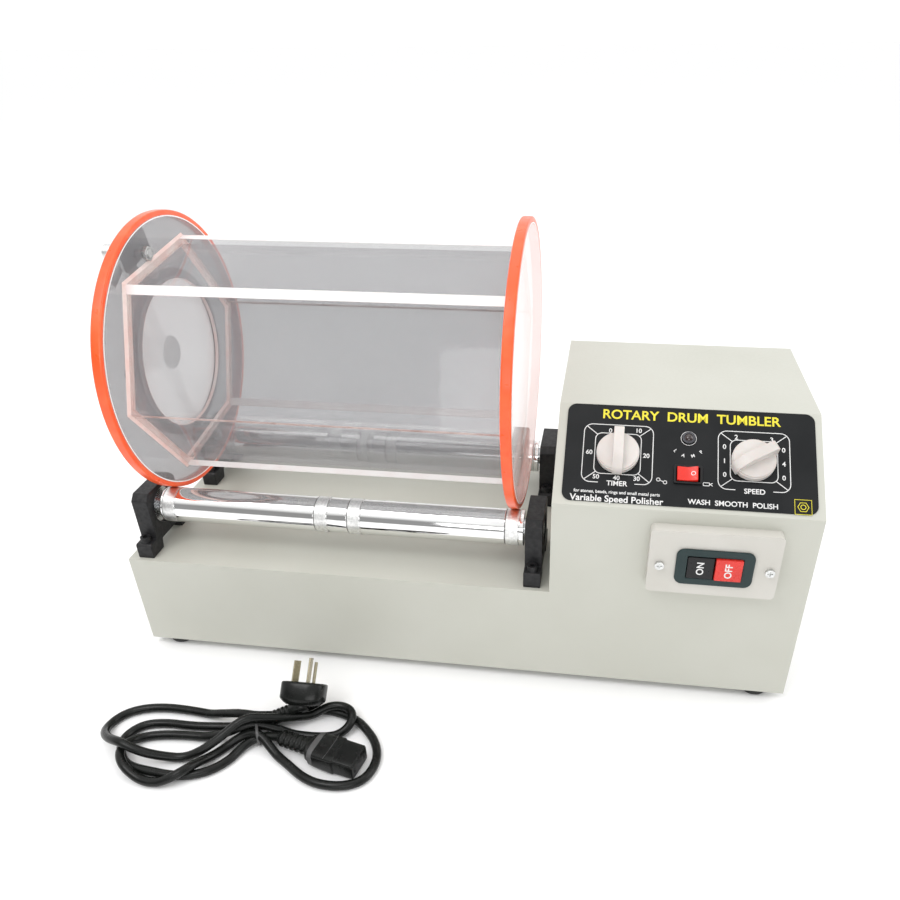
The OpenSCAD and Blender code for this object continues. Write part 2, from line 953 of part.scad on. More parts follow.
// A round skirt with a straight grip bar; its pointer overhangs the rim
module dial_knob(pos, pointing) {
    r = dial_d / 2;
    base = label_t + dial_gap;
    on_panel(pos)
        rotate([0, 0, pointing]) {
            translate([0, 0, base])
                cylinder(h = dial_t - 1, r = r);
            translate([0, 0, base + dial_t - 1])
                cylinder(h = 1, r = r - 1);
            translate([-grip_w / 2, 0, base])
                rotate([90, 0, 90])
                    linear_extrude(height = grip_w)
                        polygon([[-r - 1, 0], [r + 1.5, 0], [r + 1.5, grip_h],
                            [r, grip_h + 2], [-r * 0.35, grip_h + 2],
                            [-r + 1, grip_h - 3], [-r - 1, grip_h - 6]]);
            translate([0, 0, -spindle_l])
                cylinder(h = base + spindle_l + 1, r = spindle_r);
        }
}

module timer_knob() {
    color(cream)
        dial_knob(timer_pos, 0);
}

module speed_knob() {
    color(cream)
        dial_knob(speed_pos, -60);
}

// ---------- push switch on the front ----------

module on_front(x, z) {
    translate([x, y_front, z])
        rotate([90, 0, 0])
            children();
}

module switch_cover() {
    color(cream)
        difference() {
            on_front(cover_x, cover_z)
                difference() {
                    linear_extrude(height = cover_out)
                        rounded_rect(cover_w, cover_h, 3.5);
                    translate([0, 0, -1])
                        linear_extrude(height = cover_out - cover_wall + 1)
                            rounded_rect(cover_w - 2 * cover_wall, cover_h - 2 * cover_wall, 2);
                }
            on_front(bezel_x, bezel_z)
                translate([-push_w / 2 - 0.5, -push_h / 2 - 0.5, 0])
                    cube([push_w + 1, push_h + 1, cover_out + 1]);
            cover_screw_places()
                y_rod(y_front - cover_out - 1, y_front, screw_r);
        }
}

module button_well(x, extra) {
    on_front(x, bezel_z)
        translate([-button_w / 2 - extra, -button_h / 2 - extra, -12])
            cube([button_w + 2 * extra, button_h + 2 * extra, 40]);
}

on_x = bezel_x - (button_w + button_gap) / 2;
off_x = bezel_x + (button_w + button_gap) / 2;

module switch_bezel() {
    color([0.13, 0.17, 0.16])
        difference() {
            on_front(bezel_x, bezel_z)
                translate([0, 0, cover_out])
                    linear_extrude(height = bezel_t)
                        rounded_rect(bezel_w, bezel_h, 6);
            translate([bezel_x - button_w - button_gap / 2 - 0.4, y_front - 40,
                    bezel_z - button_h / 2 - 0.4])
                cube([2 * button_w + button_gap + 0.8, 60, button_h + 0.8]);
        }
}

module push_switch_body() {
    color([0.16, 0.16, 0.17])
        difference() {
            on_front(bezel_x, bezel_z)
                translate([-push_w / 2, -push_h / 2, cover_out - push_depth])
                    cube([push_w, push_h, push_depth]);
            button_well(on_x, 0.4);
            button_well(off_x, 0.4);
        }
}

module push_button(x, proud) {
    on_front(x, bezel_z)
        translate([-button_w / 2, -button_h / 2, cover_out + bezel_t + proud - 16])
            cube([button_w, button_h, 16]);
}

module on_button() {
    color(black)
        push_button(on_x, 0.6);
}

module off_button() {
    color([0.85, 0.1, 0.08])
        push_button(off_x, 1.8);
}

// ---------- mains inlet ----------

module inlet_socket() {
    w = inlet_cav_w;
    h = inlet_cav_h;
    color(black)
        difference() {
            union() {
                translate([inlet_pos[0] - inlet_flange[0] / 2, rear_out,
                        inlet_pos[1] - inlet_flange[2] / 2])
                    cube(inlet_flange);
                translate([inlet_pos[0] - w / 2 - inlet_wall, rear_out - inlet_depth,
                        inlet_pos[1] - h / 2 - inlet_wall])
                    cube([w + 2 * inlet_wall, inlet_depth, h + 2 * inlet_wall]);
            }
            translate([inlet_pos[0] - w / 2, rear_out - inlet_depth + 2, inlet_pos[1] - h / 2])
                cube([w, inlet_depth + 2, h]);
            inlet_screw_places()
                y_rod(rear_out - 1, rear_out + 5, screw_r);
            inlet_pin_places()
                translate([0, rear_out - inlet_depth - 1, 0])
                    cube([2, 4, 4]);
        }
}

module inlet_pin_places() {
    for (pin = [[-7, -2.5], [0, 1.5], [7, -2.5]])
        translate([inlet_pos[0] + pin[0] - 1, 0, inlet_pos[1] + pin[1] - 2])
            children();
}

module inlet_pins() {
    color(steel)
        inlet_pin_places()
            translate([0, rear_out - inlet_depth - 6, 0])
                cube([2, inlet_depth + 4, 4]);
}

// ---------- drum ----------

module left_disc() {
    color(clear)
        difference() {
            x_rod(drum_x0, barrel_x0, disc_r, 0, drum_z);
            x_rod(drum_x0 - 1, barrel_x0 + 1, port_r, 0, drum_z);
            x_rod(drum_x0 - 1, barrel_x0 - ledge_t, recess_r, 0, drum_z);
            post_places()
                x_rod(drum_x0 - 1, barrel_x0 + 1, post_bolt_r);
        }
}

module right_disc() {
    color(clear)
        x_rod(barrel_x1, drum_x1, disc_r, 0, drum_z);
}

module rim(x) {
    color(orange)
        x_turned(x, 0, drum_z)
            polygon([[disc_r, 0], [rim_r - rim_chamfer, 0], [rim_r, rim_chamfer],
                [rim_r, disc_t - rim_chamfer], [rim_r - rim_chamfer, disc_t], [disc_r, disc_t]]);
}

module left_rim() {
    rim(drum_x0);
}

module right_rim() {
    rim(barrel_x1);
}

// Six flat panels, mitred together at the barrel's corners
module barrel_panels() {
    function corner(r, k) =
        [r * cos(90 - hex_tilt + 60 * k), drum_z + r * sin(90 - hex_tilt + 60 * k)];
    color(clear)
        for (k = [0 : 5])
            x_prism(barrel_x0, barrel_x1 - barrel_x0)
                polygon([corner(hex_r, k), corner(hex_r, k + 1),
                    corner(hex_inner_r, k + 1), corner(hex_inner_r, k)]);
}

module lid_gasket() {
    color([0.2, 0.16, 0.15])
        difference() {
            x_rod(gasket_x, gasket_x + gasket_t, lid_r, 0, drum_z);
            x_rod(gasket_x - 1, gasket_x + gasket_t + 1, port_r + 2, 0, drum_z);
        }
}

module lid_plate() {
    color(clear)
        x_rod(lid_x, gasket_x, lid_r, 0, drum_z);
}

module post_places() {
    for (angle = [post_angle, post_angle + 180])
        translate([0, post_r * cos(angle), drum_z + post_r * sin(angle)])
            children();
}

module clamp_posts() {
    seat_x = drum_x0 - plate_t;
    color(steel)
        post_places() {
            x_rod(bar_x + bar_t + 0.1, seat_x, post_head_r);
            x_rod(bar_x - 0.1, bar_x + bar_t + 0.1, pivot_r);
            x_rod(bar_x - 0.1 - post_head_l, bar_x - 0.1, post_head_r);
            x_rod(seat_x, barrel_x0 + post_bolt_out, post_bolt_r);
        }
}

module post_plates() {
    color(steel)
        for (angle = [post_angle, post_angle + 180])
            difference() {
                on_drum(post_r + 3, angle)
                    translate([drum_x0 - plate_t, 0, 0])
                        rotate([90, 0, 90])
                            linear_extrude(height = plate_t)
                                rounded_rect(plate_l, plate_w, 4);
                on_drum(post_r, angle)
                    x_rod(drum_x0 - plate_t - 1, drum_x0 + 1, post_bolt_r);
            }
}

module post_nuts() {
    color(steel)
        post_places()
            translate([barrel_x0, 0, 0])
                rotate([0, 90, 0])
                    hex_nut(post_nut_r, post_nut_t, post_bolt_r);
}

// The bar turns about the upper post; an open slot hooks it under the lower post's head
module clamp_bar() {
    color(steel)
        difference() {
            union() {
                on_drum(0, post_angle) {
                    translate([bar_x, -bar_w / 2, -post_r - bar_end])
                        cube([bar_t, bar_w, 2 * post_r + bar_end]);
                    x_rod(bar_x, bar_x + bar_t, bar_w / 2, 0, post_r);
                }
                translate([bar_x - boss_t, 0, drum_z])
                    rotate([0, 90, 0])
                        cylinder(h = boss_t, r = boss_r, $fn = 6);
                translate([bar_x + bar_t / 2, post_r * cos(post_angle),
                        drum_z + post_r * sin(post_angle)])
                    rotate([peg_angle, 0, 0]) {
                        y_rod(post_head_r - 1, peg_start + 1, peg_neck_r);
                        y_rod(peg_start, peg_l, peg_r);
                    }
            }
            on_drum(post_r, post_angle)
                x_rod(bar_x - 1, bar_x + bar_t + 3, pivot_r + running);
            on_drum(-post_r, post_angle) {
                x_rod(bar_x - 1, bar_x + bar_t + 1, slot_half);
                translate([bar_x - 1, -bar_w, -slot_half])
                    cube([bar_t + 2, bar_w, 2 * slot_half]);
            }
            x_rod(bar_x - boss_t - 1, bar_x + bar_t + 1, clamp_screw_r + running, 0, drum_z);
        }
}

module pressure_pad() {
    color([0.2, 0.2, 0.2])
        x_rod(pad_x, lid_x, pad_r, 0, drum_z);
}

module clamp_screw() {
    color(steel)
        x_rod(knob_x, pad_x, clamp_screw_r, 0, drum_z);
}

module clamp_knob() {
    color([0.55, 0.55, 0.56])
        difference() {
            translate([knob_x, 0, drum_z])
                rotate([90, 0, 90])
                    linear_extrude(height = knob_t) {
                        circle(r = knob_hub_r);
                        for (i = [0 : 2])
                            rotate([0, 0, knob_first_arm + 120 * i])
                                translate([knob_reach / 2, 0])
                                    rounded_rect(knob_reach, knob_arm_w, 4);
                    }
            x_rod(knob_x - 1, knob_x + knob_t + 1, clamp_screw_r, 0, drum_z);
        }
}

// ---------- mains lead ----------

module on_neck() {
    translate([neck_pos[0], neck_pos[1], neck_z[0]])
        rotate([0, 0, neck_angle])
            children();
}

// The gathered turns, the neck that the tie holds and the folded runs beside the plug
module cord_hank() {
    color(black) {
        linear_extrude(height = hank_h)
            hull() {
                translate([-226, -216])
                    circle(r = 38, $fn = 32);
                translate([-240, -203])
                    circle(r = 28, $fn = 32);
                translate([-156, -196])
                    circle(r = 12, $fn = 32);
            }
        on_neck()
            translate([-8, -neck_w / 2, 0])
                cube([14, neck_w, neck_z[1] - neck_z[0]]);
        linear_extrude(height = strip_h)
            hull() {
                translate([-129, -184])
                    circle(r = 9, $fn = 32);
                translate([-104, -175])
                    circle(r = 15, $fn = 32);
                translate([-77, -174])
                    circle(r = 13, $fn = 32);
            }
    }
}

module cord_tube() {
    color(black) {
        swept_tube([for (p = loop_route) [p[0], p[1], cord_r]], cord_r, tube_sides);
        swept_tube(plug_route, cord_r, tube_sides);
        swept_tube(connector_route, cord_r, tube_sides);
    }
}

module cord_tie() {
    h = neck_z[1] - neck_z[0];
    color([0.12, 0.12, 0.12])
        on_neck()
            difference() {
                translate([-tie_w / 2, -neck_w / 2 - tie_t, -tie_t])
                    cube([tie_w, neck_w + 2 * tie_t, h + 2 * tie_t]);
                translate([-tie_w, -neck_w / 2, 0])
                    cube([2 * tie_w, neck_w, h]);
            }
}

module mains_connector() {
    d = connector_mouth - connector_tail;
    length = norm(d);
    color(black)
        translate(connector_tail)
            rotate([0, 0, atan2(d[1], d[0])])
                difference() {
                    union() {
                        x_rod(0, relief_l, 5.4);
                        for (i = [0 : 4])
                            x_rod(3 + 5 * i, 5.5 + 5 * i, 6.6);
                        x_prism(relief_l, length - mouth_l - relief_l)
                            rounded_rect(26, 17, 4);
                        x_prism(length - mouth_l, mouth_l)
                            rounded_rect(24, 15.6, 2);
                    }
                    for (slot = [[-7, -1], [0, 3], [7, -1]])
                        translate([length - mouth_l + 2, slot[0] - 1.3, slot[1] - 2.4])
                            cube([mouth_l, 2.6, 4.8]);
                }
}

module on_plug() {
    translate(plug_base)
        rotate([-plug_lean, 0, 0])
            children();
}

module mains_plug() {
    relief = plug_route[2];
    step = plug_base + [0, -1, 0] - relief;
    color(black) {
        on_plug() {
            translate([0, 0, 3])
                linear_extrude(height = 15)
                    rounded_rect(37, 24, 9);
            linear_extrude(height = 3)
                rounded_rect(32, 20, 8);
        }
        translate(relief)
            rotate([0, acos(step[2] / norm(step)), atan2(step[1], step[0])])
                cylinder(h = norm(step), r = 4.2);
    }
}

module plug_pins() {
    color(steel)
        on_plug()
            translate([0, 0, 18]) {
                for (side = [-1, 1])
                    translate([side * 7.9, -2, 0])
                        rotate([0, 0, side * 30])
                            translate([-0.75, -3.2, 0])
                                cube([1.5, 6.4, 17]);
                translate([-0.75, 4.2, 0])
                    cube([1.5, 6.4, 20]);
            }
}

housing_shell();
bottom_plate();
rear_panel();
case_screws();
rubber_feet();
foot_fixings();
bearing_blocks();
block_fixings();
bearing_outer_rings();
control_label();
lamp_bezel();
lamp_lens();
rocker_frame();
timer_body();
speed_switch_body();
switch_cover();
switch_bezel();
push_switch_body();
motor_body();
motor_bracket();
motor_screws();
speed_transformer();
wiring_harness();
inlet_socket();
inlet_pins();
drive_belt();
front_roller();
front_shaft();
front_inner_rings();
rear_roller();
rear_shaft();
rear_inner_rings();
driven_pulley();
motor_shaft();
motor_pulley();
left_disc();
right_disc();
barrel_panels();
left_rim();
right_rim();
lid_plate();
lid_gasket();
clamp_posts();
post_plates();
post_nuts();
clamp_bar();
pressure_pad();
clamp_screw();
clamp_knob();
timer_knob();
speed_knob();
rocker_button();
on_button();
off_button();
cord_hank();
cord_tube();
mains_connector();
mains_plug();
plug_pins();
cord_tie();
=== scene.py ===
"""Looks of the rotary tumbler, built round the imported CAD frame. Metres, in the CAD's frame."""
import math

import bmesh
import bpy
from mathutils import Matrix, Vector


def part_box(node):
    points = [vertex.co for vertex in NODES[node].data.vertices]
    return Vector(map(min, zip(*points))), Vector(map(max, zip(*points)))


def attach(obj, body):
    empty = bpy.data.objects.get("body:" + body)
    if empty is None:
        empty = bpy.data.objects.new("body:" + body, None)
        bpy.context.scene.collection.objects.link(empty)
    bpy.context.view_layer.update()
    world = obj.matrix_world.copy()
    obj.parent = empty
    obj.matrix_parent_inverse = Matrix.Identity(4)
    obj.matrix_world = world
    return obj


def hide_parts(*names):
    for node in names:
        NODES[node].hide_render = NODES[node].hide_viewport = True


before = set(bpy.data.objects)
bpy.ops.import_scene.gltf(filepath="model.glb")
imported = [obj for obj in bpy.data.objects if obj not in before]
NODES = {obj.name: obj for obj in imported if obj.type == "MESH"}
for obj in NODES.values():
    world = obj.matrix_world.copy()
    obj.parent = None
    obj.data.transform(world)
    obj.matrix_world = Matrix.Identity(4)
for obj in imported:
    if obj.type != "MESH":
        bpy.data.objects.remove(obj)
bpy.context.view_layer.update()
MM = 0.001

# Places that several pieces share, in millimetres as the CAD has them
FRONT_Y = -100.0
KINK_Z = 180.0
SLOPE = math.atan2(51.0, 69.0)
LABEL_TOP = 0.8
HEX_R = 97.0
HEX_FIRST = math.radians(67.8)
PANEL_T = 6.0
HEX_INNER_R = HEX_R - PANEL_T / math.cos(math.radians(30))
DRUM_Z = (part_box("right_disc")[0].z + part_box("right_disc")[1].z) / 2 / MM
BARREL_X = (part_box("barrel_panels")[0].x / MM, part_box("barrel_panels")[1].x / MM)
LAMP_POS = (182.2, 59.4)
ROCKER_POS = (182.2, 29.1)


# ---------- camera ----------

def add_camera():
    """The camera that was fitted to the photo's straight edges and circles."""
    data = bpy.data.cameras.new("camera")
    data.sensor_width = 36.0
    data.lens = 31.49
    data.shift_x = -0.0515
    data.shift_y = 0.0614
    data.clip_start = 0.01
    data.clip_end = 60.0
    camera = bpy.data.objects.new("camera", data)
    bpy.context.scene.collection.objects.link(camera)
    camera.location = (0.1164, -0.5985, 0.4928)
    camera.rotation_euler = [math.radians(a) for a in (57.786, 0.751, 8.096)]
    bpy.context.scene.camera = camera


# ---------- materials ----------

class Shader:
    """A Principled material that is varied by noise in object coordinates."""

    def __init__(self, name, color, roughness=0.4, metallic=0.0, **sockets):
        self.material = bpy.data.materials.new(name)
        self.material.use_nodes = True
        self.tree = self.material.node_tree
        self.bsdf = self.tree.nodes["Principled BSDF"]
        self.color = color
        self.roughness = roughness
        self.bsdf.inputs["Base Color"].default_value = (*color, 1.0)
        self.bsdf.inputs["Roughness"].default_value = roughness
        self.bsdf.inputs["Metallic"].default_value = metallic
        for key, value in sockets.items():
            self.bsdf.inputs[key.replace("_", " ")].default_value = value
        self.coords = self.add("ShaderNodeTexCoord")

    def add(self, kind, **values):
        node = self.tree.nodes.new(kind)
        for key, value in values.items():
            setattr(node, key, value)
        return node

    def link(self, a, b):
        self.tree.links.new(a, b)

    def noise(self, scale, detail=4.0, stretch=(1.0, 1.0, 1.0), distortion=0.0):
        mapping = self.add("ShaderNodeMapping")
        mapping.inputs["Scale"].default_value = stretch
        self.link(self.coords.outputs["Object"], mapping.inputs["Vector"])
        node = self.add("ShaderNodeTexNoise")
        node.inputs["Scale"].default_value = scale
        node.inputs["Detail"].default_value = detail
        node.inputs["Distortion"].default_value = distortion
        self.link(mapping.outputs["Vector"], node.inputs["Vector"])
        return node.outputs["Fac"]

    def ramp(self, fac, low, high, start=0.3, end=0.7):
        node = self.add("ShaderNodeMapRange")
        node.inputs["From Min"].default_value = start
        node.inputs["From Max"].default_value = end
        node.inputs["To Min"].default_value = low
        node.inputs["To Max"].default_value = high
        self.link(fac, node.inputs["Value"])
        return node.outputs["Result"]

    def vary_color(self, other, scale, start=0.35, end=0.65, **noise):
        mix = self.add("ShaderNodeMix", data_type="RGBA")
        mix.inputs["A"].default_value = (*self.color, 1.0)
        mix.inputs["B"].default_value = (*other, 1.0)
        self.link(self.ramp(self.noise(scale, **noise), 0.0, 1.0, start, end), mix.inputs["Factor"])
        self.link(mix.outputs["Result"], self.bsdf.inputs["Base Color"])
        return self

    def vary_roughness(self, spread, scale, **noise):
        value = self.ramp(self.noise(scale, **noise), self.roughness - spread, self.roughness + spread)
        self.link(value, self.bsdf.inputs["Roughness"])
        return self

    def bump(self, scale, strength, height=0.1, **noise):
        node = self.add("ShaderNodeBump")
        node.inputs["Strength"].default_value = strength
        node.inputs["Distance"].default_value = height * MM
        self.link(self.noise(scale, **noise), node.inputs["Height"])
        self.link(node.outputs["Normal"], self.bsdf.inputs["Normal"])
        return self


def plastic(name, color, roughness=0.35, **sockets):
    darker = tuple(0.86 * c for c in color)
    shader = Shader(name, color, roughness, **sockets)
    return shader.vary_color(darker, 60.0).vary_roughness(0.06, 300.0).bump(1500.0, 0.12, 0.05)


def metal(name, color, roughness, stretch=(1.0, 1.0, 1.0), strength=0.12):
    darker = tuple(0.78 * c for c in color)
    shader = Shader(name, color, roughness, metallic=1.0)
    shader.vary_color(darker, 500.0, stretch=stretch)
    shader.vary_roughness(0.08, 700.0, stretch=stretch)
    return shader.bump(900.0, strength, 0.03, stretch=stretch)


def acrylic(name, color, alpha):
    shader = Shader(name, color, 0.06, Coat_Weight=0.25, Coat_Roughness=0.03, Alpha=alpha)
    shader.vary_color(tuple(min(1.0, 1.12 * c) for c in color), 14.0)
    return shader.vary_roughness(0.03, 120.0)


paint = Shader("housing_powder_coat", (0.528, 0.530, 0.475), 0.46)
paint.vary_color((0.500, 0.502, 0.445), 9.0).vary_roughness(0.07, 350.0).bump(1100.0, 0.25, 0.06)
cover_paint = Shader("cover_paint", (0.575, 0.56, 0.52), 0.42)
cover_paint.vary_color((0.545, 0.53, 0.485), 22.0).vary_roughness(0.06, 350.0).bump(1000.0, 0.2, 0.05)
block_paint = Shader("block_black", (0.008, 0.008, 0.009), 0.46, Specular_IOR_Level=0.3)
block_paint.vary_color((0.02, 0.02, 0.021), 260.0).vary_roughness(0.1, 420.0).bump(800.0, 0.4, 0.12)
label_ink = Shader("label_black", (0.006, 0.007, 0.008), 0.42, Specular_IOR_Level=0.22)
label_ink.vary_color((0.010, 0.011, 0.012), 35.0).vary_roughness(0.05, 90.0).bump(2600.0, 0.15, 0.03)
chrome = Shader("roller_chrome", (0.90, 0.90, 0.90), 0.05, metallic=1.0)
chrome.vary_color((0.84, 0.84, 0.83), 18.0, stretch=(1.0, 3.0, 3.0))
chrome.vary_roughness(0.02, 30.0, stretch=(4.0, 1.0, 1.0)).bump(90.0, 0.015, 0.02)
knurl_metal = metal("roller_band", (0.90, 0.90, 0.89), 0.42, strength=0.4)
zinc = metal("zinc_plate", (0.74, 0.75, 0.74), 0.32)
turned = metal("turned_steel", (0.60, 0.61, 0.62), 0.24, stretch=(6.0, 1.0, 1.0))
brushed = metal("brushed_steel", (0.84, 0.84, 0.83), 0.42, stretch=(1.0, 1.0, 6.0))
brass_pin = metal("tinned_brass", (0.42, 0.38, 0.27), 0.34)
rubber = plastic("black_rubber", (0.014, 0.014, 0.014), 0.72)
urethane = Shader("orange_urethane", (0.93, 0.095, 0.014), 0.34, Coat_Weight=0.2, Coat_Roughness=0.2,
                  Subsurface_Weight=0.08, Subsurface_Scale=0.004)
urethane.vary_color((0.86, 0.15, 0.04), 45.0, start=0.45, end=0.75).vary_roughness(0.08, 80.0)
urethane.bump(160.0, 0.25, 0.25)
ivory = Shader("ivory_knob", (0.66, 0.625, 0.595), 0.40, Subsurface_Weight=0.1, Subsurface_Scale=0.003)
ivory.vary_color((0.57, 0.53, 0.50), 40.0).vary_roughness(0.06, 260.0).bump(900.0, 0.12, 0.05)
bezel_plastic = plastic("bezel_plastic", (0.018, 0.036, 0.037), 0.34, Specular_IOR_Level=0.3)
black_plastic = plastic("black_plastic", (0.008, 0.008, 0.009), 0.40, Specular_IOR_Level=0.3)
black_button = plastic("black_button", (0.011, 0.011, 0.012), 0.32, Specular_IOR_Level=0.3)
red_button = plastic("red_button", (0.72, 0.035, 0.025), 0.28)
red_rocker = plastic("red_rocker", (0.80, 0.030, 0.018), 0.22, Subsurface_Weight=0.15,
                     Subsurface_Scale=0.002)
lamp_glass = plastic("lamp_glass", (0.022, 0.010, 0.010), 0.14, Coat_Weight=0.6)
lamp_ring = metal("lamp_ring", (0.10, 0.10, 0.11), 0.32)
grey_plastic = plastic("grey_plastic", (0.26, 0.265, 0.27), 0.42)
motor_paint = plastic("motor_enamel", (0.09, 0.10, 0.11), 0.36)
copper = plastic("copper_winding", (0.30, 0.12, 0.04), 0.35)
wire_blue = plastic("blue_wire", (0.02, 0.06, 0.30), 0.35)
belt_black = plastic("belt_black", (0.018, 0.018, 0.018), 0.66)
cord_black = Shader("cord_black", (0.005, 0.0055, 0.005), 0.24, Specular_IOR_Level=0.24)
cord_black.vary_color((0.009, 0.010, 0.009), 90.0).vary_roughness(0.07, 160.0).bump(420.0, 0.12, 0.08)
collar_grey = plastic("collar_grey", (0.085, 0.085, 0.085), 0.40)
clear_wall = acrylic("clear_acrylic_wall", (0.20, 0.20, 0.21), 0.33)
clear_disc = acrylic("clear_acrylic_disc", (0.20, 0.20, 0.21), 0.55)
pale_disc = acrylic("pale_acrylic_disc", (0.87, 0.84, 0.83), 0.60)
clear_lid = acrylic("clear_acrylic_lid", (0.93, 0.91, 0.91), 0.62)
gasket_rubber = Shader("gasket_rubber", (0.20, 0.13, 0.12), 0.5, Alpha=0.42)
gasket_rubber.vary_color((0.45, 0.28, 0.26), 50.0).vary_roughness(0.08, 150.0).bump(500.0, 0.2, 0.05)
gasket_lip = plastic("gasket_lip", (0.04, 0.022, 0.022), 0.55)
# The grooves' steel is given a dark colour: painted shade inside the narrow grooves beside the bands.
groove_painted_shade = metal("roller_groove_painted_shade", (0.20, 0.20, 0.20), 0.40)
sawn_edge = Shader("sawn_acrylic_edge", (0.93, 0.87, 0.86), 0.34, Alpha=0.93)
sawn_edge.vary_color((0.95, 0.93, 0.92), 70.0).vary_roughness(0.08, 200.0).bump(600.0, 0.2, 0.06)
pink_edge = Shader("pink_acrylic_edge", (0.93, 0.70, 0.65), 0.25, Alpha=0.62)
pink_edge.vary_color((0.95, 0.84, 0.80), 60.0).vary_roughness(0.06, 200.0).bump(500.0, 0.2, 0.05)
glued_edge = Shader("glued_acrylic_edge", (0.50, 0.33, 0.30), 0.28, Alpha=0.72)
glued_edge.vary_color((0.72, 0.58, 0.55), 45.0).vary_roughness(0.06, 200.0).bump(500.0, 0.2, 0.05)
ink_white = plastic("ink_white", (0.78, 0.78, 0.77), 0.5)
ink_yellow = plastic("ink_yellow", (0.80, 0.70, 0.035), 0.5)


# ---------- helpers ----------

def link_object(name, data):
    obj = bpy.data.objects.new(name, data)
    bpy.context.scene.collection.objects.link(obj)
    return obj


def paint_object(obj, shader):
    obj.data.materials.clear()
    obj.data.materials.append(shader.material)
    return obj


def mesh_object(name, bm, shader, smooth=True):
    bmesh.ops.recalc_face_normals(bm, faces=bm.faces)
    mesh = bpy.data.meshes.new(name)
    bm.to_mesh(mesh)
    bm.free()
    for face in mesh.polygons:
        face.use_smooth = smooth
    return paint_object(link_object(name, mesh), shader)


def soften(obj, width, segments=2, angle=35.0, weld=True):
    """Rounds an object's sharp edges by width millimetres."""
    if weld:
        merge = obj.modifiers.new("weld", "WELD")
        merge.merge_threshold = 0.00001
    bevel = obj.modifiers.new("round_edges", "BEVEL")
    bevel.width = width * MM
    bevel.segments = segments
    bevel.limit_method = "ANGLE"
    bevel.angle_limit = math.radians(angle)
    bevel.harden_normals = False
    normals = obj.modifiers.new("normals", "WEIGHTED_NORMAL")
    normals.keep_sharp = False
    normals.weight = 80
    return obj


def panel_matrix(x=0.0, y=0.0, z=0.0):
    """The control panel's plane: x along the machine, y up the slope, z out of it, millimetres."""
    origin = Matrix.Translation((0.0, FRONT_Y * MM, KINK_Z * MM))
    turn = Matrix.Rotation(SLOPE, 4, "X")
    return origin @ turn @ Matrix.Translation((x * MM, y * MM, z * MM))


def bridge(bm, rows, loop=False):
    """Quads between each closed ring of vertices and the next, and from the last to the first in a loop."""
    for a, b in zip(rows, rows[1:] + rows[:1] if loop else rows[1:]):
        n = len(a)
        for k in range(n):
            bm.faces.new((a[k], a[(k + 1) % n], b[(k + 1) % n], b[k]))


def circle(bm, x, y, z, radius, sides):
    """A ring of vertices about an axis along X, all in metres."""
    angles = [2 * math.pi * k / sides for k in range(sides)]
    return [bm.verts.new((x, y + radius * math.cos(a), z + radius * math.sin(a))) for a in angles]


def front_matrix(x, y, z):
    """A plane that faces the operator: its x along the machine, its y up."""
    return Matrix.Translation((x * MM, y * MM, z * MM)) @ Matrix.Rotation(math.pi / 2, 4, "X")


def lettering(name, text, size, matrix, shader, body, turn=0.0):
    """Printed characters, centred on the matrix's origin."""
    font = bpy.data.curves.new(name, "FONT")
    font.body = text
    font.size = size * MM
    font.align_x = "CENTER"
    font.align_y = "CENTER"
    font.extrude = 0.04 * MM
    font.offset = 0.018 * size * MM
    obj = paint_object(link_object(name, font), shader)
    obj.matrix_world = matrix @ Matrix.Rotation(turn, 4, "Z")
    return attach(obj, body)


def ribbon(name, strokes, width, matrix, shader, body, height=0.08):
    """Flat printed lines: each stroke is a list of points in the matrix's plane."""
    bm = bmesh.new()
    for stroke in strokes:
        rails = []
        for i, p in enumerate(stroke):
            before = Vector(stroke[max(i - 1, 0)])
            after = Vector(stroke[min(i + 1, len(stroke) - 1)])
            if i == 0 and (Vector(stroke[0]) - Vector(stroke[-1])).length < 0.01:
                before = Vector(stroke[-2])
            if i == len(stroke) - 1 and (Vector(stroke[0]) - Vector(stroke[-1])).length < 0.01:
                after = Vector(stroke[1])
            along = (after - before).normalized()
            side = Vector((-along.y, along.x)) * width / 2
            rails.append([bm.verts.new((*((Vector(p) + s * side) * MM), z * MM))
                          for z in (0.0, height) for s in (-1, 1)])
        for a, b in zip(rails, rails[1:]):
            for i, j in ((0, 1), (1, 3), (3, 2), (2, 0)):
                bm.faces.new((a[i], a[j], b[j], b[i]))
        for end in (rails[0], rails[-1]):
            bm.faces.new((end[0], end[1], end[3], end[2]))
    obj = mesh_object(name, bm, shader, smooth=False)
    obj.matrix_world = matrix
    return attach(obj, body)


def arc(cx, cy, radius, start, end, steps=10):
    return [(cx + radius * math.cos(math.radians(start + (end - start) * i / steps)),
             cy + radius * math.sin(math.radians(start + (end - start) * i / steps)))
            for i in range(steps + 1)]


def rounded_outline(cx, cy, w, h, r, steps=6):
    points = []
    for sx, sy, start in ((1, 1, 0), (-1, 1, 90), (-1, -1, 180), (1, -1, 270)):
        points += arc(cx + sx * (w / 2 - r), cy + sy * (h / 2 - r), r, start, start + 90, steps)
    return points + points[:1]


def lofted(name, sections, matrix, shader, sides=40):
    """A closed body along +X through (x, width, height, roundness, y, z) sections."""
    bm = bmesh.new()
    rings = []
    for x, w, h, power, y0, z0 in sections:
        ring = []
        for k in range(sides):
            a = 2 * math.pi * k / sides
            c, s = math.cos(a), math.sin(a)
            y = y0 + w / 2 * math.copysign(abs(c) ** (2 / power), c)
            z = z0 + h / 2 * math.copysign(abs(s) ** (2 / power), s)
            ring.append(bm.verts.new((x * MM, y * MM, z * MM)))
        rings.append(ring)
    bridge(bm, rings)
    bm.faces.new(rings[0])
    bm.faces.new(list(reversed(rings[-1])))
    obj = mesh_object(name, bm, shader)
    obj.matrix_world = matrix
    return obj


# ---------- mains lead ----------

CORD_R = 3.5
TIE_CENTRE = Vector((-140.5, -193.0))
TIE_TURN = math.radians(25.0)
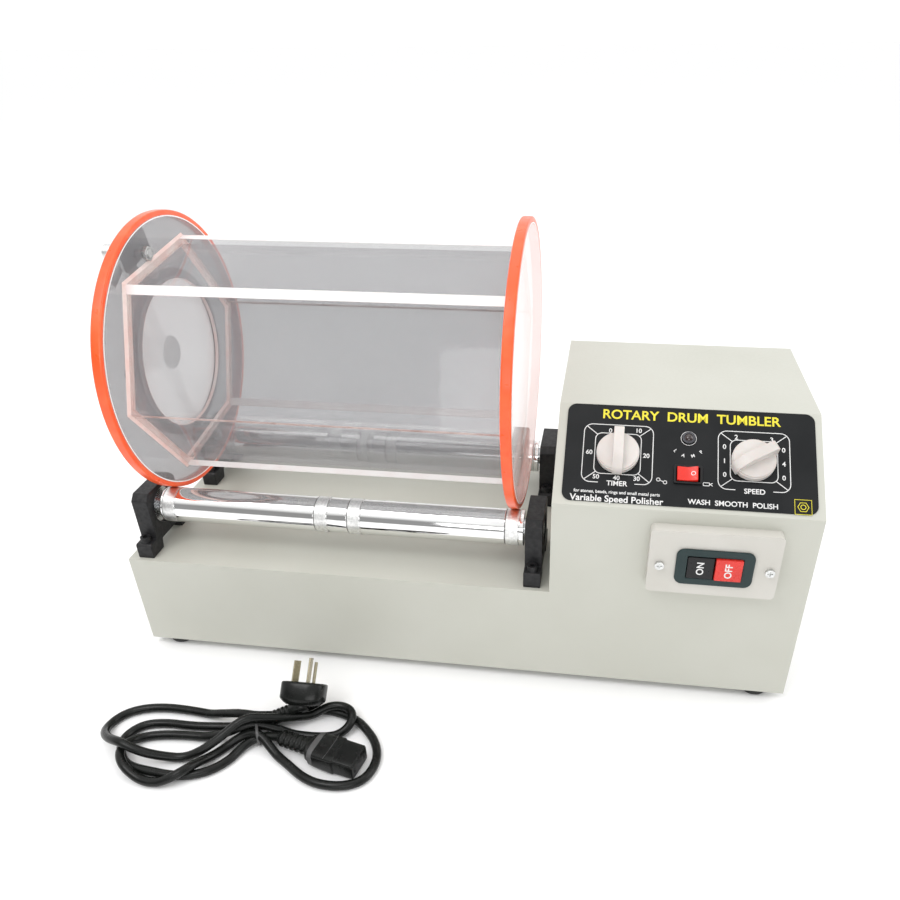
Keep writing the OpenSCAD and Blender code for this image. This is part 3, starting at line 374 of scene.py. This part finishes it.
# Route over the table from the connector to the plug, seen from above
ROUTE = [
    (-120, -199), (-127, -198.5), (-137.5, -199.6), (-147, -208), (-153, -222), (-166, -235),
    (-185, -241), (-208, -240), (-230, -236), (-243, -222), (-245, -209), (-236, -197), (-218, -193),
    (-198, -193), (-175, -191), (-158, -188.5), (-143.9, -185.6), (-132, -179.5), (-119, -168),
    (-100, -162.5), (-79, -165), (-64.5, -171), (-55, -179), (-46, -189), (-40, -202), (-40, -216),
    (-46, -228), (-60, -234), (-78, -234), (-92, -229), (-106, -220), (-119, -212), (-130, -204),
    (-138, -200), (-149, -201), (-161, -211), (-171, -226), (-180, -242), (-195, -249), (-213, -248),
    (-230, -240), (-238, -226), (-233, -211), (-217, -205), (-196, -203), (-173, -202), (-155, -198.5),
    (-140.7, -192.6), (-126, -190.5), (-107, -191), (-90, -190.5), (-77, -187), (-68, -178),
    (-70, -167.5), (-80, -162.5), (-92, -165), (-106, -174), (-122, -184), (-140.7, -192.5),
    (-152, -199), (-164, -211), (-178, -220.5), (-197, -226), (-218, -229.5), (-237, -227),
    (-254, -219), (-264.5, -206), (-261, -191), (-247, -181), (-226, -177), (-197, -178), (-172, -181.5),
    (-156, -184.5), (-143.9, -186), (-137, -183.5), (-131, -181),
]
CORD_STEP = 2.0
CORD_CLIMB = 0.42       # the steepest rise along the lead
CORD_START_Z = 8.5      # where it leaves the connector
CORD_END_Z = 12.2       # where it enters the plug's sleeve
END_POINTS = 14         # steps over which it eases to those heights, and steps that can't cross


def smooth_route(points, step):
    """Points a step apart on a Catmull-Rom curve through the given ones."""
    ends = [2 * points[0] - points[1]] + points + [2 * points[-1] - points[-2]]
    dense = []
    for a, b, c, d in zip(ends, ends[1:], ends[2:], ends[3:]):
        for i in range(24):
            t = i / 24
            dense.append(0.5 * (2 * b + (c - a) * t + (2 * a - 5 * b + 4 * c - d) * t * t
                                + (3 * b - a - 3 * c + d) * t ** 3))
    dense.append(points[-1])
    spaced = [dense[0]]
    for p in dense[1:]:
        if (p - spaced[-1]).length >= step:
            spaced.append(p)
    spaced[-1] = points[-1]
    return spaced


def relax(points, passes):
    """Evens out a route's curvature and keeps its two ends."""
    for _ in range(passes):
        points = ([points[0]] + [(a + 2 * b + c) / 4 for a, b, c in zip(points, points[1:], points[2:])]
                  + [points[-1]])
    return points


def lay_down(flat):
    """Heights for a cord that is laid on a table, each later stretch over the earlier ones."""
    across = 2 * CORD_R + 0.15
    heights = []
    for i, p in enumerate(flat):
        lifted = CORD_R + 1.2 * math.exp(-((p - TIE_CENTRE).length / 16.0) ** 2)
        for j in range(max(0, i - END_POINTS)):
            gap = (p - flat[j]).length
            if gap < across:
                lifted = max(lifted, heights[j] + math.sqrt(across ** 2 - gap ** 2))
        heights.append(lifted)
        k = i - 1
        while k >= 0 and heights[k] < heights[k + 1] - CORD_CLIMB * CORD_STEP:
            heights[k] = heights[k + 1] - CORD_CLIMB * CORD_STEP
            k -= 1
    for i in range(1, len(heights)):
        heights[i] = max(heights[i], heights[i - 1] - CORD_CLIMB * CORD_STEP)
    return heights


def mains_cord():
    flat = relax(smooth_route([Vector(p) for p in ROUTE], CORD_STEP), 6)
    heights = lay_down(flat)
    for i in range(END_POINTS):
        share = i / END_POINTS
        heights[i] = CORD_START_Z + (heights[i] - CORD_START_Z) * share
        heights[-1 - i] = CORD_END_Z + (heights[-1 - i] - CORD_END_Z) * share
    heights = [p[0] for p in relax([Vector((h, 0)) for h in heights], 6)]
    curve = bpy.data.curves.new("mains_cord", "CURVE")
    curve.dimensions = "3D"
    curve.bevel_depth = CORD_R * MM
    curve.bevel_resolution = 6
    curve.use_fill_caps = True
    spline = curve.splines.new("POLY")
    spline.points.add(len(flat) - 1)
    for point, p, h in zip(spline.points, flat, heights):
        point.co = (p.x * MM, p.y * MM, h * MM, 1.0)
    spline.use_smooth = True
    obj = paint_object(link_object("mains_cord", curve), cord_black)
    length = sum((Vector((*a, ha)) - Vector((*b, hb))).length
                 for a, b, ha, hb in zip(flat, flat[1:], heights, heights[1:])) * MM
    return obj, Vector((flat[0].x, flat[0].y, heights[0])) * MM, length


def connector_piece():
    """The female end of the lead: ribbed sleeve, collar, body and stepped mouth."""
    tail = Vector((*ROUTE[0], CORD_START_Z))
    mouth = Vector((-50.0, -215.0, CORD_START_Z))
    along = mouth - tail
    length = along.length
    matrix = Matrix.Translation(tail * MM) @ Matrix.Rotation(math.atan2(along.y, along.x), 4, "Z")
    sections = [(0.0, 9.0, 9.0, 2.0, 0, 0), (1.0, 10.6, 10.6, 2.0, 0, 0)]
    for i in range(5):
        x = 3.0 + 4.8 * i
        sections += [(x, 10.4 + 0.3 * i, 10.2, 2.0, 0, 0), (x + 0.5, 13.0 + 0.3 * i, 12.2, 2.2, 0, 0),
                     (x + 2.3, 13.0 + 0.3 * i, 12.2, 2.2, 0, 0), (x + 2.8, 10.6 + 0.3 * i, 10.4, 2.0, 0, 0)]
    sections += [(27.5, 15.0, 12.4, 2.4, 0, 0), (29.0, 20.0, 14.4, 3.0, 0, 0), (33.0, 23.0, 15.4, 3.4, 0, 0)]
    sleeve = lofted("connector_sleeve", sections, matrix, cord_black)
    collar = lofted("connector_collar", [(32.0, 22.6, 15.2, 3.4, 0, 0), (33.0, 24.6, 16.2, 3.6, 0, 0),
                                         (36.4, 25.2, 16.6, 3.8, 0, 0), (37.0, 24.6, 16.0, 3.8, 0, 0)],
                    matrix, collar_grey)
    step = length - 17.0
    body = lofted("connector_body", [
        (36.6, 22.0, 14.6, 4.5, 0, 0), (37.0, 24.8, 16.2, 5.0, 0, 0), (step - 1.0, 25.6, 16.8, 7.0, 0, 0),
        (step, 25.2, 16.4, 7.0, 0, 0), (step + 0.1, 23.6, 15.2, 9.0, 0, 0),
        (length - 0.8, 23.2, 15.0, 9.0, 0, 0), (length, 22.2, 14.0, 9.0, 0, 0)], matrix, cord_black)
    for piece in (collar, body):
        soften(piece, 0.35, weld=False)
    slots = bmesh.new()
    for y, z in ((-7.0, -1.0), (0.0, 3.0), (7.0, -1.0)):
        bmesh.ops.create_cube(slots, size=1.0, matrix=Matrix.Translation(
            ((length - 0.9) * MM, y * MM, z * MM)) @ Matrix.Diagonal((1.9 * MM, 2.4 * MM, 4.6 * MM, 1.0)))
    slot_piece = mesh_object("connector_slots", slots, rubber, smooth=False)
    slot_piece.matrix_world = matrix
    seam = ribbon("connector_seam", [[(48.0, -12.4), (48.4, -6.0), (48.4, 6.0), (48.0, 12.4)]], 0.35,
                  matrix @ Matrix.Translation((0, 0, 8.38 * MM)), collar_grey, "base")
    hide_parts("mains_connector")
    return [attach(p, "base") for p in (sleeve, collar, body, slot_piece)] + [seam]


def plug_piece():
    """The plug's oval head, leaning back on the lead, with its tapered sleeve."""
    lean = math.radians(45.0)
    base = Vector((-110.0, -172.0, 17.0))
    matrix = (Matrix.Translation(base * MM) @ Matrix.Rotation(-lean, 4, "X")
              @ Matrix.Rotation(-math.pi / 2, 4, "Y"))
    head = lofted("plug_head", [
        (0.0, 20.0, 13.0, 2.4, 0, 0), (0.0, 26.0, 17.0, 2.4, 0, 0), (1.6, 31.0, 20.5, 2.6, 0, 0),
        (4.0, 35.6, 23.0, 2.9, 0, 0), (5.2, 36.6, 23.8, 3.0, 0, 0), (16.4, 36.8, 24.0, 3.0, 0, 0),
        (17.5, 36.0, 23.2, 3.0, 0, 0), (17.9, 34.0, 21.4, 3.0, 0, 0), (17.9, 32.6, 20.0, 3.0, 0, 0),
        (17.3, 32.2, 19.6, 3.0, 0, 0)], matrix @ Matrix.Rotation(math.pi / 2, 4, "X"), cord_black, sides=64)
    tip = Vector((*ROUTE[-1], CORD_END_Z))
    root = base + Vector((2.0, -1.0, 1.5))
    step = root - tip
    aim = step.to_track_quat("X", "Z").to_matrix().to_4x4()
    sections = [(0.0, 7.6, 7.6, 2.0, 0, 0), (0.5, 8.2, 8.2, 2.0, 0, 0)]
    for i in range(4):
        x = 2.0 + 3.4 * i
        w = 8.2 + 0.35 * i
        sections += [(x, w, w, 2.0, 0, 0), (x + 0.3, w - 1.3, w - 1.3, 2.0, 0, 0),
                     (x + 1.3, w - 1.3, w - 1.3, 2.0, 0, 0), (x + 1.6, w, w, 2.0, 0, 0)]
    sections += [(step.length - 3.0, 10.0, 10.0, 2.0, 0, 0), (step.length + 3.0, 12.0, 11.0, 2.0, 0, 0)]
    sleeve = lofted("plug_sleeve", sections, Matrix.Translation(tip * MM) @ aim, cord_black, sides=28)
    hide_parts("mains_plug")
    return [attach(p, "base") for p in (head, sleeve)]


def tie_piece():
    """A flat plastic band round the six runs of the lead."""
    matrix = (Matrix.Translation((TIE_CENTRE.x * MM, TIE_CENTRE.y * MM, 8.0 * MM))
              @ Matrix.Rotation(TIE_TURN, 4, "Z"))
    bm = bmesh.new()
    outer = rounded_outline(0, 0, 26.6, 15.6, 5.0)
    inner = rounded_outline(0, 0, 25.0, 14.0, 4.2)
    rows = [[bm.verts.new((x * MM, p[0] * MM, p[1] * MM)) for p in ring[:-1]]
            for x, ring in ((-1.1, inner), (-1.1, outer), (1.1, outer), (1.1, inner))]
    bridge(bm, rows, loop=True)
    tie = mesh_object("cord_tie_band", bm, collar_grey)
    tie.matrix_world = matrix
    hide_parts("cord_tie")
    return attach(tie, "base")


add_camera()
cord, cord_exit, cord_length = mains_cord()
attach(cord, "base")
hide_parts("cord_hank", "cord_tube")
cord_parts = connector_piece() + plug_piece() + [tie_piece(), NODES["plug_pins"]]


# ---------- CAD nodes: finish and edge rounding in millimetres ----------

FINISH = {
    "housing_shell": (paint, 0), "bottom_plate": (paint, 0), "rear_panel": (paint, 0),
    "case_screws": (zinc, 0.4), "rubber_feet": (rubber, 0.6), "foot_fixings": (zinc, 0.2),
    "bearing_blocks": (block_paint, 0.7), "block_fixings": (block_paint, 0.3),
    "bearing_outer_rings": (turned, 0.2), "control_label": (label_ink, 0), "lamp_bezel": (lamp_ring, 0.3),
    "lamp_lens": (lamp_glass, 0), "rocker_frame": (black_plastic, 0.4), "timer_body": (grey_plastic, 0.6),
    "speed_switch_body": (black_plastic, 0.6), "switch_cover": (cover_paint, 0.8),
    "switch_bezel": (bezel_plastic, 0.7), "push_switch_body": (black_plastic, 0.3),
    "motor_body": (motor_paint, 1.2), "motor_bracket": (zinc, 0.4), "motor_screws": (zinc, 0.3),
    "speed_transformer": (copper, 0.8), "wiring_harness": (wire_blue, 0),
    "inlet_socket": (black_plastic, 0.4),
    "inlet_pins": (brass_pin, 0.2), "drive_belt": (belt_black, 0.5), "front_roller": (chrome, 0.3),
    "front_shaft": (turned, 0.5), "front_inner_rings": (turned, 0.2), "rear_roller": (chrome, 0.3),
    "rear_shaft": (turned, 0.5), "rear_inner_rings": (turned, 0.2), "driven_pulley": (turned, 0.4),
    "motor_shaft": (turned, 0.4), "motor_pulley": (turned, 0.4), "left_disc": (clear_disc, 0.3),
    "right_disc": (pale_disc, 0.3), "barrel_panels": (clear_wall, 0), "left_rim": (urethane, 0.5),
    "right_rim": (urethane, 0.5), "lid_plate": (clear_lid, 0.5), "lid_gasket": (gasket_rubber, 0),
    "clamp_posts": (brushed, 0.6), "post_plates": (brushed, 0.5), "post_nuts": (zinc, 0.3),
    "clamp_bar": (brushed, 0.6), "pressure_pad": (rubber, 0.5), "clamp_screw": (zinc, 0.3),
    "clamp_knob": (grey_plastic, 1.2), "timer_knob": (ivory, 1.0), "speed_knob": (ivory, 1.0),
    "rocker_button": (red_rocker, 0.5), "on_button": (black_button, 0.8), "off_button": (red_button, 0.8),
    "plug_pins": (brass_pin, 0.3),
}
for node, (shader, edge) in FINISH.items():
    paint_object(NODES[node], shader)
    if edge:
        soften(NODES[node], edge)


# The discs' edges stand just clear of the rims' bores, so that the two surfaces do not fight
for node in ("left_disc", "right_disc"):
    inset = NODES[node].modifiers.new("edge_clearance", "DISPLACE")
    inset.strength = -0.06 * MM
    inset.mid_level = 0.0

# The acrylic throws no shadow and is left out of the diffuse light on what is behind and under it
for node in ("barrel_panels", "left_disc", "right_disc", "lid_plate"):
    NODES[node].visible_shadow = False
    NODES[node].visible_diffuse = False


# ---------- rollers: satin knurled bands ----------

KNURL = 0.04 * MM           # how far the knurl's points stand up
GROOVE = 0.45 * MM          # how far under the band the groove beside it is


def roller_bands(name, node, body):
    low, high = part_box(node)
    x0 = low.x / MM
    x1 = high.x / MM
    y = (low.y + high.y) / 2
    z = (low.z + high.z) / 2
    radius = (high.y - low.y) / 2 + 0.00006
    bm = bmesh.new()
    sides = 180
    for start in (x0 + 2.5, x0 + 137.5, x0 + 166.0, x1 - 14.5):
        rows = []
        for i in range(13):
            x = (start + 10.0 * i / 12) * MM
            ring = []
            for k in range(sides):
                a = 2 * math.pi * k / sides
                r = radius + (KNURL if (k // 2 + i) % 2 and 0 < i < 12 else 0.0)
                ring.append(bm.verts.new((x, y + r * math.cos(a), z + r * math.sin(a))))
            rows.append(ring)
        bridge(bm, rows)
    piece = mesh_object(name, bm, knurl_metal)
    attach(piece, body)
    # Dark rings at the floor of each groove: painted shade in the grooves, on steel that is no darker than
    # the bands.
    bm = bmesh.new()
    for start in (x0 + 1.5, x0 + 136.5, x0 + 165.0, x1 - 15.5):
        bridge(bm, [circle(bm, x * MM, y, z, radius - GROOVE, sides) for x in (start + 0.02, start + 0.98)])
    grooves = mesh_object(name.replace("bands", "grooves"), bm, groove_painted_shade)
    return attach(grooves, body)


roller_bands("front_roller_bands", "front_roller", "front_roller_unit")
roller_bands("rear_roller_bands", "rear_roller", "rear_roller_unit")


# ---------- drum: sawn edges, glue lines ----------

def hex_point(radius, k):
    a = HEX_FIRST + math.radians(60.0) * k
    return Vector((radius * math.cos(a), DRUM_Z + radius * math.sin(a)))


def prism(bm, outline, x0, x1):
    """A closed bar of the given (y, z) outline from x0 to x1, millimetres."""
    ends = [[bm.verts.new((x * MM, p.x * MM, p.y * MM)) for p in outline] for x in (x0, x1)]
    bridge(bm, ends)
    bm.faces.new(ends[0])
    bm.faces.new(list(reversed(ends[1])))


def panel_seams(name, corners, band, shader):
    """The sawn edge of a panel shows as a pale band along each of these corners."""
    lift = 0.12
    bm = bmesh.new()
    for k in corners:
        corner = hex_point(HEX_R + lift, k)
        along = (hex_point(HEX_R + lift, k + 1) - corner).normalized()
        inward = (Vector((0, DRUM_Z)) - corner).normalized()
        outline = [corner, corner + band * along, corner + band * along + 0.5 * inward, corner + 0.5 * inward]
        prism(bm, outline, BARREL_X[0] + 0.1, BARREL_X[1] - 0.1)
    piece = mesh_object(name, bm, shader, smooth=False)
    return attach(piece, "drum")


def end_joint(name, x, away):
    """The panels' cemented ends show through the disc as a pale six-sided outline."""
    bm = bmesh.new()
    rows = [[bm.verts.new((px * MM, hex_point(r, k).x * MM, hex_point(r, k).y * MM)) for k in range(6)]
            for px, r in ((x, HEX_INNER_R), (x, HEX_R), (x + away, HEX_R), (x + away, HEX_INNER_R))]
    bridge(bm, rows, loop=True)
    piece = mesh_object(name, bm, pink_edge, smooth=False)
    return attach(piece, "drum")


def glue_fillets():
    """Fillets of cement where the panels meet the two discs, inside and outside."""
    bm = bmesh.new()
    for x, away in ((BARREL_X[0], 1), (BARREL_X[1], -1)):
        for radius, side in ((HEX_R, 1), (HEX_INNER_R, -1)):
            rows = []
            for k in range(6):
                rows.append([(x + away * 0.02, hex_point(radius + side * 2.2, k)),
                             (x + away * 2.2, hex_point(radius + side * 0.1, k)),
                             (x + away * 0.02, hex_point(radius - side * 0.4, k))])
            verts = [[bm.verts.new((px * MM, p.x * MM, p.y * MM)) for px, p in row] for row in rows]
            bridge(bm, verts, loop=True)
    piece = mesh_object("glue_fillets", bm, pink_edge, smooth=False)
    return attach(piece, "drum")


def ring_band(name, x0, x1, radius, thickness, shader):
    """A thin turned band about the drum's axis."""
    bm = bmesh.new()
    corners = ((x0, radius), (x0, radius + thickness), (x1, radius + thickness), (x1, radius))
    rows = [circle(bm, x * MM, 0.0, DRUM_Z * MM, r * MM, 160) for x, r in corners]
    bridge(bm, rows, loop=True)
    piece = mesh_object(name, bm, shader, smooth=False)
    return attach(piece, "drum")


panel_seams("panel_seams", (0, 1, 3, 4), 7.0, sawn_edge)
panel_seams("panel_glue_lines", (2, 5), 2.8, glued_edge)
glue_fillets()
disc_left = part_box("left_disc")
disc_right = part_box("right_disc")
lid_low, lid_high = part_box("lid_plate")
ring_band("gasket_lip", -248.4, -246.6, 63.6, 0.4, gasket_lip)
ring_band("port_edge", disc_left[1].x / MM - 3.0, disc_left[1].x / MM - 0.1, 61.7, 0.25, pink_edge)
end_joint("left_end_joint", disc_left[1].x / MM + 0.02, 0.1)
end_joint("right_end_joint", disc_right[0].x / MM - 0.02, -0.1)
ring_band("lid_edge", lid_low.x / MM + 0.6, lid_high.x / MM - 0.6, 69.98, 0.12, pink_edge)
for side, (low, high) in (("left", disc_left), ("right", disc_right)):
    for face, x in (("outer", low.x / MM), ("inner", high.x / MM)):
        gap = -0.05 if face == "outer" else 0.05
        ring_band(f"{side}_{face}_rim_line", x + min(gap, 0), x + max(gap, 0), 110.4, 1.0, sawn_edge)


# ---------- control panel print ----------

def dial_frame(name, pos, size):
    x, y = pos
    w, h = size
    inner_w = w * 0.66
    inner_h = h * 0.70
    strokes = [rounded_outline(x, y, inner_w, inner_h, 5.0)]
    gap = 13.5
    r = 6.5
    outer = [(x + gap, y - h / 2)]
    for cx, cy, start in ((1, -1, 270), (1, 1, 0), (-1, 1, 90), (-1, -1, 180)):
        outer += arc(x + cx * (w / 2 - r), y + cy * (h / 2 - r), r, start, start + 90, 8)
    strokes.append(outer + [(x - gap, y - h / 2)])
    for sx in (-1, 1):
        for sy in (-1, 1):
            strokes.append([(x + sx * (inner_w / 2 - 1.4), y + sy * (inner_h / 2 - 1.4)),
                            (x + sx * (w / 2 - 1.9), y + sy * (h / 2 - 1.9))])
    ribbon(name, strokes, 0.6, panel_matrix(z=LABEL_TOP + 0.01), ink_white, "base")


def panel_text(name, text, size, x, y, shader=ink_white, turn=0.0):
    lettering(name, text, size, panel_matrix(x, y, LABEL_TOP + 0.05), shader, "base", turn)


panel_text("print_title", "ROTARY  DRUM  TUMBLER", 11.0, 183.0, 76.6, ink_yellow)
dial_frame("print_timer_frame", (129.7, 43.5), (52.4, 48.5))
dial_frame("print_speed_frame", (229.9, 43.5), (51.8, 47.8))
for text, x, y in (("0", 123.4, 62.6), ("10", 144.6, 63.6), ("20", 151.1, 42.9), ("30", 144.6, 23.6),
                   ("40", 129.7, 23.4), ("50", 114.4, 23.6), ("60", 108.2, 43.6)):
    panel_text(f"print_timer_{text}", text, 5.0, x, y)
for text, x, y in (("1", 208.6, 42.4), ("2", 217.2, 62.4), ("3", 243.0, 61.6), ("4", 251.4, 42.2)):
    panel_text(f"print_speed_{text}", text, 5.4, x, y)
for i, (x, y) in enumerate(((208.6, 54.0), (251.4, 53.6), (208.8, 31.2), (251.2, 31.0))):
    panel_text(f"print_speed_stop_{i}", "0", 5.2, x, y)
panel_text("print_timer_caption", "TIMER", 5.6, 130.2, 18.8)
panel_text("print_speed_caption", "SPEED", 5.6, 230.2, 18.8)
for i, (x, y, turn) in enumerate(((172.4, 48.6, -0.9), (178.4, 45.0, -0.35), (185.6, 45.0, 0.35),
                                  (191.6, 48.6, 0.9))):
    panel_text(f"print_lamp_{i}", "LAMP"[i], 3.6, x, y, turn=turn)
panel_text("print_small_line", "for stones, beads, rings and small metal parts", 3.5, 130.4, 11.6)
panel_text("print_bold_line", "Variable Speed Polisher", 7.2, 130.4, 6.0)
panel_text("print_right_line", "WASH  SMOOTH  POLISH", 5.6, 214.6, 7.9)
ribbon("print_emblem", [[(258.2, 3.4), (270.0, 3.4), (270.0, 14.8), (258.2, 14.8), (258.2, 3.4)],
                        arc(264.1, 9.1, 3.9, 0, 360, 6), arc(264.1, 9.1, 1.8, 0, 360, 12)],
       0.5, panel_matrix(z=LABEL_TOP + 0.01), ink_yellow, "base")
ribbon("print_rocker_marks", [arc(160.6, 24.2, 1.3, 0, 360, 16), [(161.8, 23.7), (164.4, 22.6)],
                              arc(165.6, 22.2, 1.3, 0, 360, 16), rounded_outline(195.6, 22.6, 4.6, 2.4, 0.6),
                              [(198.2, 22.6), (200.2, 23.8)], [(198.2, 22.6), (200.2, 21.4)]],
       0.5, panel_matrix(z=LABEL_TOP + 0.01), ink_white, "base")
ribbon("print_lamp_ring", [arc(*LAMP_POS, 5.7, 0, 360, 40)], 0.4, panel_matrix(z=LABEL_TOP + 0.01),
       ink_white, "base")


# ---------- markings on the moving buttons ----------

def button_text(name, node, text, body, shader):
    low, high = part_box(node)
    matrix = front_matrix((low.x + high.x) / 2 / MM, low.y / MM - 0.03, (low.z + high.z) / 2 / MM)
    lettering(name, text, 7.4, matrix, shader, body, math.pi / 2)


button_text("on_mark", "on_button", "ON", "on_push", ink_white)
button_text("off_mark", "off_button", "OFF", "off_push", ink_white)
rocker_tilt = math.radians(7.0)
rocker_matrix = panel_matrix(*ROCKER_POS, -1.0) @ Matrix.Rotation(-rocker_tilt, 4, "Y")
face_slope = math.atan2(1.8, 7.2)
ribbon("rocker_mark", [arc(0, 0, 1.5, 0, 360, 20)], 0.5,
       rocker_matrix @ Matrix.Translation((4.2 * MM, 0, 5.47 * MM)) @ Matrix.Rotation(-face_slope, 4, "Y"),
       ink_white, "power_rocker")


# ---------- stage and light ----------

def add_stage():
    bm = bmesh.new()
    bmesh.ops.create_grid(bm, x_segments=1, y_segments=1, size=14.0)
    floor = mesh_object("floor", bm, Shader("floor_white", (0.95, 0.95, 0.95), 0.6), smooth=False)


def add_light(name, location, target, size, power):
    data = bpy.data.lights.new(name, "AREA")
    data.shape = "RECTANGLE"
    data.size, data.size_y = size
    data.energy = power
    light = link_object(name, data)
    light.location = location
    light.rotation_euler = (Vector(target) - Vector(location)).to_track_quat("-Z", "Y").to_euler()


def add_world():
    """White all round, with a dim part of the room behind the camera for the metal to reflect."""
    world = bpy.data.worlds.new("studio")
    bpy.context.scene.world = world
    world.use_nodes = True
    nodes = world.node_tree.nodes
    links = world.node_tree.links
    coords = nodes.new("ShaderNodeTexCoord")
    split = nodes.new("ShaderNodeSeparateXYZ")
    links.new(coords.outputs["Generated"], split.inputs["Vector"])
    edges = []
    for axis, dim, bright in (("Y", -0.55, -0.20), ("Z", 0.42, 0.62)):
        edge = nodes.new("ShaderNodeMapRange")
        edge.inputs["From Min"].default_value = dim
        edge.inputs["From Max"].default_value = bright
        links.new(split.outputs[axis], edge.inputs["Value"])
        edges.append(edge)
    either = nodes.new("ShaderNodeMath")
    either.operation = "MAXIMUM"
    for edge, socket in zip(edges, either.inputs):
        links.new(edge.outputs["Result"], socket)
    level = nodes.new("ShaderNodeMapRange")
    level.inputs["To Min"].default_value = 0.30
    level.inputs["To Max"].default_value = 1.0
    links.new(either.outputs["Value"], level.inputs["Value"])
    links.new(level.outputs["Result"], nodes["Background"].inputs["Color"])
    nodes["Background"].inputs["Strength"].default_value = 1.12


add_stage()
add_light("key", (-0.7, -0.9, 1.9), (0, 0, 0.15), (0.9, 0.9), 12.0)
add_light("side", (1.7, 0.1, 1.0), (0.05, 0, 0.15), (1.0, 1.2), 7.0)
add_light("top", (-0.2, 0.4, 2.2), (0, 0, 0.1), (1.6, 1.0), 4.0)
add_light("front", (0.3, -2.3, 0.9), (0.0, 0, 0.15), (1.6, 0.7), 11.0)
add_world()
bpy.context.scene.view_settings.view_transform = "Standard"
